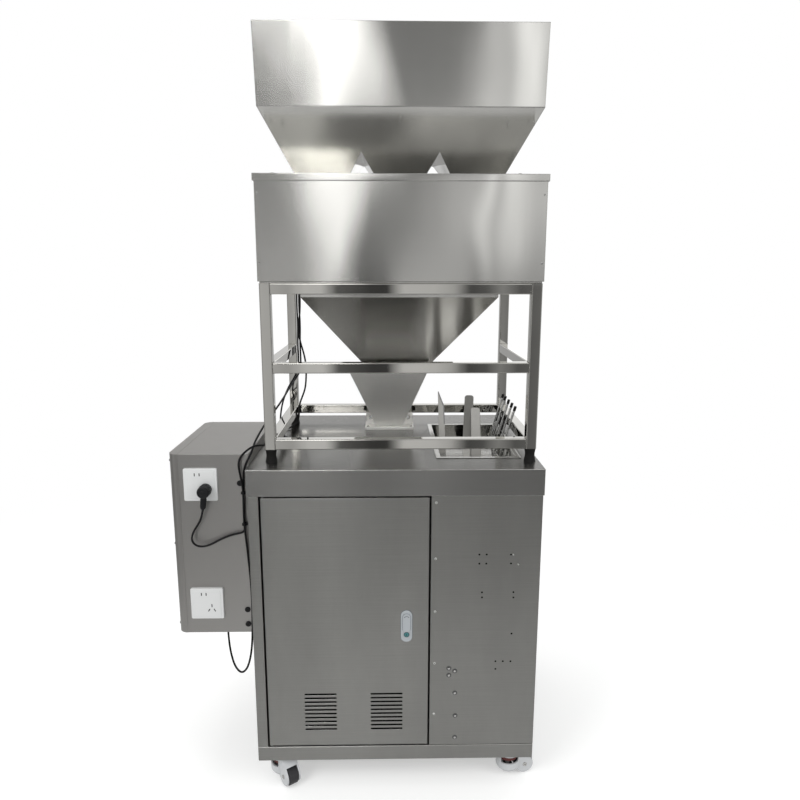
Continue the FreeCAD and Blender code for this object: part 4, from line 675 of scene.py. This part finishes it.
def add_prism(mesh, place, outline, low, high, across=Vector((1, 0, 0)), up=Vector((0, 0, 1))):
    """Adds a flat outline of (across, up) points in millimetres, from depth low to depth high."""
    depth = Vector(across).cross(Vector(up))
    sides = []
    for level in (low, high):
        sides.append([
            mesh.verts.new(Vector(place) + (Vector(across) * a + Vector(up) * b + depth * level) * MM)
            for a, b in outline
        ])
    mesh.faces.new(sides[0])
    mesh.faces.new(list(reversed(sides[1])))
    count = len(outline)
    for n in range(count):
        m = (n + 1) % count
        mesh.faces.new((sides[0][m], sides[0][n], sides[1][n], sides[1][m]))


def oval(width, height, steps=10):
    """Outline of an upright oval with half-round ends."""
    radius = width / 2
    straight = height / 2 - radius
    points = []
    for middle, start in ((straight, 0.0), (-straight, math.pi)):
        for n in range(steps + 1):
            angle = start + math.pi * n / steps
            points.append((radius * math.cos(angle), middle + radius * math.sin(angle)))
    return points


def rounded_square(size, corner, steps=5):
    """Outline of a square with rounded corners."""
    reach = size / 2 - corner
    points = []
    for quarter, (sx, sy) in enumerate(((1, 1), (-1, 1), (-1, -1), (1, -1))):
        for n in range(steps + 1):
            angle = math.pi / 2 * (quarter + n / steps)
            points.append((sx * reach + corner * math.cos(angle), sy * reach + corner * math.sin(angle)))
    return points


def piece(name, mesh, look, body="cabinet", edge=0.0, smooth=True):
    """Turns a mesh under construction into an object that rides on a body."""
    bmesh.ops.recalc_face_normals(mesh, faces=mesh.faces)
    data = bpy.data.meshes.new(name)
    mesh.to_mesh(data)
    mesh.free()
    made = bpy.data.objects.new(name, data)
    bpy.context.scene.collection.objects.link(made)
    data.materials.append(looks[look])
    if smooth:
        data.shade_smooth()
        data.set_sharp_from_angle(angle=math.radians(35))
    if edge:
        bevel = made.modifiers.new("round", "BEVEL")
        bevel.width = edge * MM
        bevel.segments = 2
        bevel.limit_method = "ANGLE"
    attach(made, body)
    return made


def screws(name, places, axis=MOUNTED, head=SCREW_HEAD, look="screw", body="cabinet"):
    """Small screws with cross recesses, all facing one way."""
    heads = bmesh.new()
    marks = bmesh.new()
    turn = Vector(axis).to_track_quat("Z", "X").to_matrix()
    for n, place in enumerate(places):
        add_turned(heads, place, axis, head)
        spin = turn @ Matrix.Rotation(0.4 + 1.1 * n, 3, "Z")
        top = Vector(place) + Vector(axis) * (head[0][1] - 0.25) * MM
        reach = RECESS_LENGTH * head[-2][0] / 3.4
        # Near-black block in each cross recess: painted shade of its inside
        add_block(marks, top, (reach, RECESS_WIDTH, 0.62), spin)
        add_block(marks, top, (RECESS_WIDTH, reach, 0.62), spin)
    piece(name, heads, look, body)
    piece(name + "_recesses", marks, "hole", body, smooth=False)


def hex_bolts(name, places, axis, body="cabinet", look="screw", size=1.0):
    """Hexagon bolts on round washers."""
    mesh = bmesh.new()
    for n, place in enumerate(places):
        add_turned(mesh, place, axis, [(r * size, h * size) for r, h in WASHER], 24)
        lifted = Vector(place) + Vector(axis) * 0.9 * size * MM
        add_turned(mesh, lifted, axis, [(r * size, h * size) for r, h in HEX_BOLT], 6, 0.5 + n)
    piece(name, mesh, look, body)


PANEL_SCREW_X = 102.5
PANEL_SCREW_RISES = (820.6, 669.4, 521.7, 372.9, 222.6)
PANEL_HOLES = [
    (215.0, 680.0), (234.0, 680.0), (215.5, 655.0), (233.5, 655.0), (296.7, 679.4), (297.5, 655.0),
    (224.3, 575.0), (224.7, 561.0), (306.3, 575.0), (306.8, 560.0), (305.3, 457.0), (265.0, 377.0),
    (284.7, 377.0), (305.0, 376.5), (265.5, 354.6),
]
PANEL_WASHER_LIFT = 0.2
PANEL_STUDS = [(302.0, 680.5), (316.0, 653.5)]
PANEL_BOLTS = [(141.0, 358.0), (157.0, 350.0), (141.3, 337.5), (158.0, 285.0), (160.0, 217.0), (160.0, 151.0)]


def panel_details():
    """Screws down the panel's left edge, rows of small holes and the bolts that hold what is behind."""
    screws("panel_screws", [at(PANEL_SCREW_X, 0.0, z) for z in PANEL_SCREW_RISES], look="bright_screw")
    mesh = bmesh.new()
    # Holes shown as near-black discs: painted shade of their inside
    for x, z in PANEL_HOLES:
        add_turned(mesh, at(x, 0.0, z), MOUNTED, HOLE_DISC, 16)
    piece("panel_holes", mesh, "hole")
    studs = bmesh.new()
    for x, z in PANEL_STUDS:
        add_turned(studs, at(x, 0.0, z), MOUNTED, STUD, 14)
    piece("panel_studs", studs, "bright_screw")
    bolts = bmesh.new()
    rings = bmesh.new()
    for n, (x, z) in enumerate(PANEL_BOLTS):
        add_turned(rings, at(x, -PANEL_WASHER_LIFT, z), MOUNTED, PANEL_WASHER, 24)
        add_turned(bolts, at(x, -PANEL_WASHER_LIFT - 0.3, z), MOUNTED, PANEL_BOLT, 6, 0.3 * n)
    piece("panel_bolt_washers", rings, "dark_steel")
    piece("panel_bolts", bolts, "screw")


HOUSING_SCREWS_FRONT = [(-330.5, 1579.5), (-331.0, 1416.0), (360.0, 1576.6), (359.6, 1414.3)]


def housing_details():
    """Screws of the feeder housing, its lid and the hopper's foot."""
    low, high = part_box("feeder_housing")
    screws("housing_front_screws", [at(x, 59.0, z) for x, z in HOUSING_SCREWS_FRONT], head=SMALL_SCREW_HEAD)
    back = [Vector((at(x, 0, z).x, high.y, at(x, 0, z).z)) for x, z in HOUSING_SCREWS_FRONT]
    screws("housing_back_screws", back, (0, 1, 0), SMALL_SCREW_HEAD)
    for name, x, way in (("left", low.x, -1), ("right", high.x, 1)):
        places = [Vector((x, low.y + share * (high.y - low.y), at(0, 0, z).z))
                  for share in (0.04, 0.96) for z in (1579.5, 1415.0)]
        screws("housing_" + name + "_screws", places, (way, 0, 0), SMALL_SCREW_HEAD)
    lid_low, lid_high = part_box("feeder_lid")
    edge = 0.016
    places = [
        Vector((x, y, lid_high.z))
        for x in (lid_low.x + edge, (lid_low.x + lid_high.x) / 2, lid_high.x - edge)
        for y in (lid_low.y + edge, lid_high.y - edge)
    ]
    screws("lid_screws", places, (0, 0, 1), SCREW_HEAD)
    hex_bolts("lid_bolts", [at(-296.0, 78.0, 1624.5), at(302.0, 78.0, 1624.5)], (0, 0, 1), size=0.8)


def socket_details():
    """Faces and slots of the two wall sockets."""
    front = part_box("upper_socket")[0].y
    middles = {}
    for name in ("upper_socket", "lower_socket"):
        low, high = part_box(name)
        middles[name] = ((low.x + high.x) / 2, (low.z + high.z) / 2)
    faces = bmesh.new()
    for x, z in middles.values():
        add_prism(faces, (x, front, z), rounded_square(72.0, 2.5), -0.6, 0.6)
    piece("socket_faces", faces, "white_plastic", edge=0.5)
    slots = bmesh.new()
    rims = bmesh.new()
    cuts = [(-13.7, 27.5, 0.0, 8.0), (-1.3, 27.5, 0.0, 8.0)]
    five = cuts + [(12.5, -5.0, 0.0, 8.5), (4.6, -18.0, 32.0, 8.5), (19.5, -18.0, -32.0, 8.5)]
    for name, places in (("upper_socket", cuts), ("lower_socket", five)):
        x, z = middles[name]
        for across, up, lean, length in places:
            turn = Matrix.Rotation(math.radians(lean), 3, "Y")
            spot = Vector((x + across * MM, front - 0.6 * MM, z + up * MM))
            add_block(slots, spot, (2.3, 0.5, length), turn)
            add_block(rims, spot, (3.2, 0.2, length + 1.0), turn)
    # The slots' near-black is painted shade of their inside
    piece("socket_slots", slots, "hole", smooth=False)
    piece("socket_slot_edges", rims, "white_plastic", smooth=False)


def plug_details():
    """Grip ring, end face and ribs of the plug's strain relief."""
    ring = bmesh.new()
    middle = at(-487.5, 8.0, 845.5)
    add_turned(ring, middle, MOUNTED, [(0.0, 0.6), (6.0, 0.6), (6.6, 0.2), (6.8, -0.4), (0.0, -0.4)], 32)
    for depth in (9.0, 14.0, 19.0):
        spot = middle + Vector((0, depth * MM, 0))
        add_turned(ring, spot, (0, 1, 0), [(15.2, -0.9), (16.1, -0.6), (16.1, 0.6), (15.2, 0.9)], 48)
    for side in range(10):
        angle = 2 * math.pi * side / 10
        spot = middle + Vector((math.cos(angle), 0.0, math.sin(angle))) * 15.6 * MM + Vector((0, 26.0 * MM, 0))
        add_block(ring, spot, (1.4, 9.0, 3.2), Matrix.Rotation(-angle, 3, "Y"))
    start = at(-487.5, 25.0, 845.5)
    end = at(-493.0, 25.0, 799.8)
    along = (end - start).normalized()
    for n in range(6):
        share = 0.46 + 0.09 * n
        radius = 8.0 + (6.5 - 8.0) * share
        spot = start + (end - start) * share
        add_turned(ring, spot, along, [
            (radius - 0.4, -1.2), (radius + 0.8, -0.8), (radius + 0.8, 0.8), (radius - 0.4, 1.2)
        ], 32)
    add_turned(ring, end - along * 0.004, along, [(6.4, -0.5), (5.0, 3.9), (3.2, 9.0), (2.9, 12.0)], 32)
    return piece("plug_ribs", ring, "black_plastic")


VENT_INSETS = (140.0, 316.5)
VENT_RISE = 100.6
VENT_SLOTS = 10
VENT_SLOT_PITCH = 11.6


def vent_shade_sheets():
    """Black sheets behind the door's two vents, pressed a little way into their slots: painted shade of the
    cabinet's inside.
    """
    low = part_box("door_panel")[0]
    mesh = bmesh.new()
    for inset in VENT_INSETS:
        middle = Vector((low.x + inset * MM, low.y, low.z + VENT_RISE * MM))
        add_block(mesh, middle + Vector((0, 2.9 * MM, 0)), (94.0, 1.2, 118.0))
        for n in range(VENT_SLOTS):
            up = (n - (VENT_SLOTS - 1) / 2) * VENT_SLOT_PITCH
            add_prism(mesh, middle, [(b, a + up) for a, b in oval(6.2, 86.6, 6)], -2.4, -0.1)
    piece("vent_shade_sheets", mesh, "vent_shade_black", "door")


def lock_details():
    """Thumb mark, button outline and key cylinder of the door's lock."""
    low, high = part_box("door_lock")
    x = (low.x + high.x) / 2
    z = (low.z + high.z) / 2
    face = low.y
    teal = bmesh.new()
    key = Vector((x, face, z - 0.022))
    add_turned(teal, key, MOUNTED, [(0.0, 0.25), (6.0, 0.25), (6.4, 0.0), (6.4, -0.3), (0.0, -0.3)], 28)
    piece("lock_cylinder", teal, "teal", "door")
    slit = bmesh.new()
    # Near-black slit and ring: painted shade of the keyway and of the gap round the cylinder
    add_block(slit, key + Vector((0, -0.0003, 0)), (0.9, 0.3, 6.0))
    add_turned(slit, key, MOUNTED, [(6.4, 0.12), (7.3, 0.12), (7.4, -0.2)], 28)
    piece("lock_keyway", slit, "hole", "door")
    marks = bmesh.new()
    arc = [(7.9 * math.cos(a), 7.9 * math.sin(a)) for a in [math.radians(28 + 12.4 * n) for n in range(11)]]
    arc += [(6.2 * p / 7.9, 6.2 * q / 7.9) for p, q in reversed(arc)]
    add_prism(marks, Vector((x, face, z + 0.0225)), arc, -0.2, 0.15)
    piece("lock_marks", marks, "mark_grey", "door")
    rim = bmesh.new()
    outline = [(a, b + 10.0) for a, b in oval(22.0, 54.0)]
    add_prism(rim, Vector((x, face + 0.0021, z)), outline, -0.2, 0.15)
    add_prism(rim, Vector((x, face + 0.005, z)), oval(32.0, 91.0), -0.1, 0.2)
    piece("lock_button_rim", rim, "mark_grey", "door")


def entry_details():
    """Seals of the cable entries on the electrical box, the nut of the low gland and the slot in the top."""
    rings = bmesh.new()
    dots = bmesh.new()
    for x, z in ((-401.5, 858.6), (-396.0, 505.7), (-396.0, 463.7)):
        add_turned(rings, at(x, 47.5, z), MOUNTED, [
            (7.6, -2.5), (7.6, -0.6), (6.6, 0.5), (4.6, 0.3), (4.0, -0.8)
        ], 28)
        add_turned(dots, at(x, 47.5, z), MOUNTED, [(0.0, 0.4), (2.2, 0.25), (3.2, 0.0), (3.6, -0.4)], 24)
    piece("bush_rims", rings, "black_plastic")
    piece("bush_centres", dots, "rubber")
    nut = bmesh.new()
    add_turned(nut, at(-467.0, 110.0, 439.5), (0, 0, -1), GLAND_NUT, 6)
    add_turned(nut, at(-467.0, 110.0, 427.5), (0, 0, -1), GLAND_SLEEVE, 28)
    piece("gland_nut", nut, "black_plastic")
    # The slot in the top is a near-black prism: painted shade of its inside
    slot = bmesh.new()
    add_prism(
        slot, at(-281.0, 303.0, 908.0), [(a, b) for b, a in oval(7.0, 36.0)], -0.4, 0.12,
        Vector((1, 0, 0)), Vector((0, 1, 0)),
    )
    piece("top_slot", slot, "hole", smooth=False)
    edge = bmesh.new()
    add_prism(
        edge, at(-281.0, 303.0, 908.0), [(a, b) for b, a in oval(9.0, 38.0)], -0.4, 0.06,
        Vector((1, 0, 0)), Vector((0, 1, 0)),
    )
    piece("top_slot_edge", edge, "screw", smooth=False)


def funnel_details():
    """Bolts that hold the small funnel's flange and its ears."""
    low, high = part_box("funnel_flange")
    top = at(0, 0, 917.0).z
    inset = 0.0085
    places = [
        Vector((x, y, top)) for x in (low.x + inset, high.x - inset) for y in (low.y + inset, high.y - inset)
    ]
    hex_bolts("flange_bolts", places, (0, 0, 1), size=0.75)
    ears = bmesh.new()
    for x in (-73.5, 44.5):
        spot = at(x, 467.0, 940.0)
        add_turned(ears, spot, MOUNTED, [(4.3, 0.1), (4.7, 0.7), (6.8, 0.5), (7.2, -0.2)], 24)
    piece("ear_eyelets", ears, "screw")


LONG_RODS = (263.0, 313.0, 366.5, 423.0, 464.5)
SHORT_RODS = (395.0, 444.0)
BLADE_FOOT = (140.5, 279.98, 869.8)
BLADE_LEAN = (13.0, 234.0, 101.99)
BLADE_ACROSS = (234.0, -13.0, 0.0)
BLADE_EDGE = [(9.9, 150.0), (9.9, 246.0), (-7.2, 330.4), (-9.4, 321.0), (6.4, 245.0), (6.4, 150.0)]


def tool_details():
    """Black caps of the rods and the dark ground edge of the blade."""
    caps = bmesh.new()
    for feet, x, z, run, rise, length, cap in (
        (LONG_RODS, 305.54, 869.48, 29.0, 102.1, 152.0, 14.0),
        (SHORT_RODS, 302.8, 869.71, 31.0, 86.62, 92.0, 26.0),
    ):
        axis = Vector((run, 0.0, rise)).normalized()
        for y in feet:
            start = at(x, y, z) + axis * (length - cap) * MM
            add_turned(caps, start, axis, [
                (3.2, -0.3), (4.15, 0.2), (4.15, cap - 1.2), (3.3, cap + 0.2), (0.0, cap + 0.4)
            ], 20)
    piece("rod_caps", caps, "rubber")
    edge = bmesh.new()
    up = Vector(BLADE_LEAN).normalized()
    add_prism(edge, at(*BLADE_FOOT), BLADE_EDGE, -1.4, 1.4, Vector(BLADE_ACROSS).normalized(), up)
    piece("blade_edge", edge, "dark_steel")


FRAME_LEFT, FRAME_RIGHT, FRAME_FRONT_FACE, FRAME_BACK_FACE = -336.0, 365.0, 61.5, 541.5
TUBE_SIZE = 27.0
CROSS_RAIL_MIDDLES = {"front": (1352.7, 1155.3, 957.1), "back": (1352.7, 957.1)}
SIDE_RAIL_MIDDLES = (1352.7, 1155.3, 957.1)
BEAD = 1.5


def weld_beads():
    """Ground weld seams where the rails meet the legs."""
    mesh = bmesh.new()
    reach = TUBE_SIZE / 2 - 0.5
    corners = [(-reach, -reach), (reach, -reach), (reach, reach), (-reach, reach)]

    def seam(middle, axis):
        """Thin uneven bead round a square tube's end."""
        side = Vector((0, 0, 1)).cross(Vector(axis))
        count = 14
        for (a0, b0), (a1, b1) in zip(corners, corners[1:] + corners[:1]):
            for n in range(count):
                share = (n + 0.5) / count
                a = a0 + (a1 - a0) * share
                b = b0 + (b1 - b0) * share
                spot = Vector(middle) + (side * a + Vector((0, 0, 1)) * b) * MM
                size = BEAD * (0.85 + 0.25 * math.sin(7.3 * n + a * 1.7 + b * 0.9))
                made = bmesh.ops.create_icosphere(mesh, subdivisions=1, radius=1.0)["verts"]
                scale = Matrix.Diagonal((size * MM, size * MM, size * MM, 1.0))
                bmesh.ops.transform(mesh, matrix=Matrix.Translation(spot) @ scale, verts=made)

    for side, heights in CROSS_RAIL_MIDDLES.items():
        y = FRAME_FRONT_FACE + TUBE_SIZE / 2 if side == "front" else FRAME_BACK_FACE - TUBE_SIZE / 2
        for z in heights:
            seam(at(FRAME_LEFT + TUBE_SIZE, y, z), (1, 0, 0))
            seam(at(FRAME_RIGHT - TUBE_SIZE, y, z), (1, 0, 0))
    for x in (FRAME_LEFT + TUBE_SIZE / 2, FRAME_RIGHT - TUBE_SIZE / 2):
        for z in SIDE_RAIL_MIDDLES:
            seam(at(x, FRAME_FRONT_FACE + TUBE_SIZE, z), (0, 1, 0))
            seam(at(x, FRAME_BACK_FACE - TUBE_SIZE, z), (0, 1, 0))
    piece("weld_beads", mesh, "weld")


def box_details():
    """Screws of the electrical box's cover and of the cabinet's back panel."""
    low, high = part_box("box_cover")
    margin = 0.02
    places = [
        Vector((low.x, y, z))
        for y in (low.y + margin, high.y - margin)
        for z in (low.z + margin, (low.z + high.z) / 2, high.z - margin)
    ]
    screws("box_cover_screws", places, (-1, 0, 0))
    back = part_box("cabinet_back")[1]
    left = at(-356.0, 0, 0).x
    right = at(356.0, 0, 0).x
    rows = [148.0, 326.0, 505.0, 684.0, 826.0]
    places = [Vector((x, back.y, z * MM)) for x in (left, right) for z in rows]
    places += [Vector((at(x, 0, 0).x, back.y, 148.0 * MM)) for x in (-178.0, 0.0, 178.0)]
    screws("back_panel_screws", places, (0, 1, 0))


CASTER_SPOTS = {
    "front_left": (-318.0, 56.0, -55.0), "front_right": (318.0, 56.0, 12.0),
    "back_left": (-318.0, 588.0, 150.0), "back_right": (318.0, 588.0, 68.0),
}
TRAIL = 44.0


def caster_details():
    """Axle bolts, hub caps, plate bolts and the thumbwheels' ridges."""
    for corner, (x, y, heading) in CASTER_SPOTS.items():
        angle = math.radians(heading)
        along = Vector((math.cos(angle), math.sin(angle), 0.0))
        across = Vector((-along.y, along.x, 0.0))
        wheel = at(x, y, 27.0) + along * TRAIL * MM
        bolts = bmesh.new()
        hubs = bmesh.new()
        for side in (-1, 1):
            add_turned(bolts, wheel + across * side * 20.5 * MM, across * side, [
                (0.0, 1.2), (2.0, 1.2), (2.4, 2.4), (5.2, 2.0), (6.2, 0.6), (6.2, -0.4)
            ], 24)
            add_turned(hubs, wheel + across * side * 11.0 * MM, across * side, [
                (9.4, -0.2), (9.4, 1.4), (15.8, 1.9), (16.8, 1.2), (17.2, -0.2)
            ], 40)
        piece("axle_bolts_" + corner, bolts, "screw", "swivel_" + corner)
        piece("hub_caps_" + corner, hubs, "caster_grey", "wheel_" + corner)
        ridges = bmesh.new()
        for n in range(36):
            turn = 2 * math.pi * n / 36
            spot = at(x, y, 56.5) + Vector((math.cos(turn), math.sin(turn), 0.0)) * 26.9 * MM
            add_block(ridges, spot, (1.4, 2.2, 9.0), Matrix.Rotation(turn, 3, "Z"))
        piece("thumbwheel_ridges_" + corner, ridges, "thumb_red", "swivel_" + corner, edge=0.3)
        plates = [at(x + dx * 31.0, y + dy * 31.0, 81.0) for dx in (-1, 1) for dy in (-1, 1)]
        mesh = bmesh.new()
        for place in plates:
            add_turned(mesh, place, (0, 0, -1), PLATE_BOLT, 20)
        piece("plate_bolts_" + corner, mesh, "screw")


bpy.context.scene.view_settings.view_transform = "Standard"
make_camera()
make_looks()
plug_ribs = plug_details()
make_cord("power_cord", POWER_CORD_ROUTE, CORD_DIAMETER)
make_cord("control_cord", CONTROL_CORD_ROUTE, CORD_DIAMETER)
make_cord("branch_cord", BRANCH_CORD_ROUTE, BRANCH_DIAMETER)
dress_nodes()
panel_details()
housing_details()
socket_details()
vent_shade_sheets()
lock_details()
entry_details()
funnel_details()
tool_details()
weld_beads()
box_details()
caster_details()
make_floor()
make_world()
make_lamps()
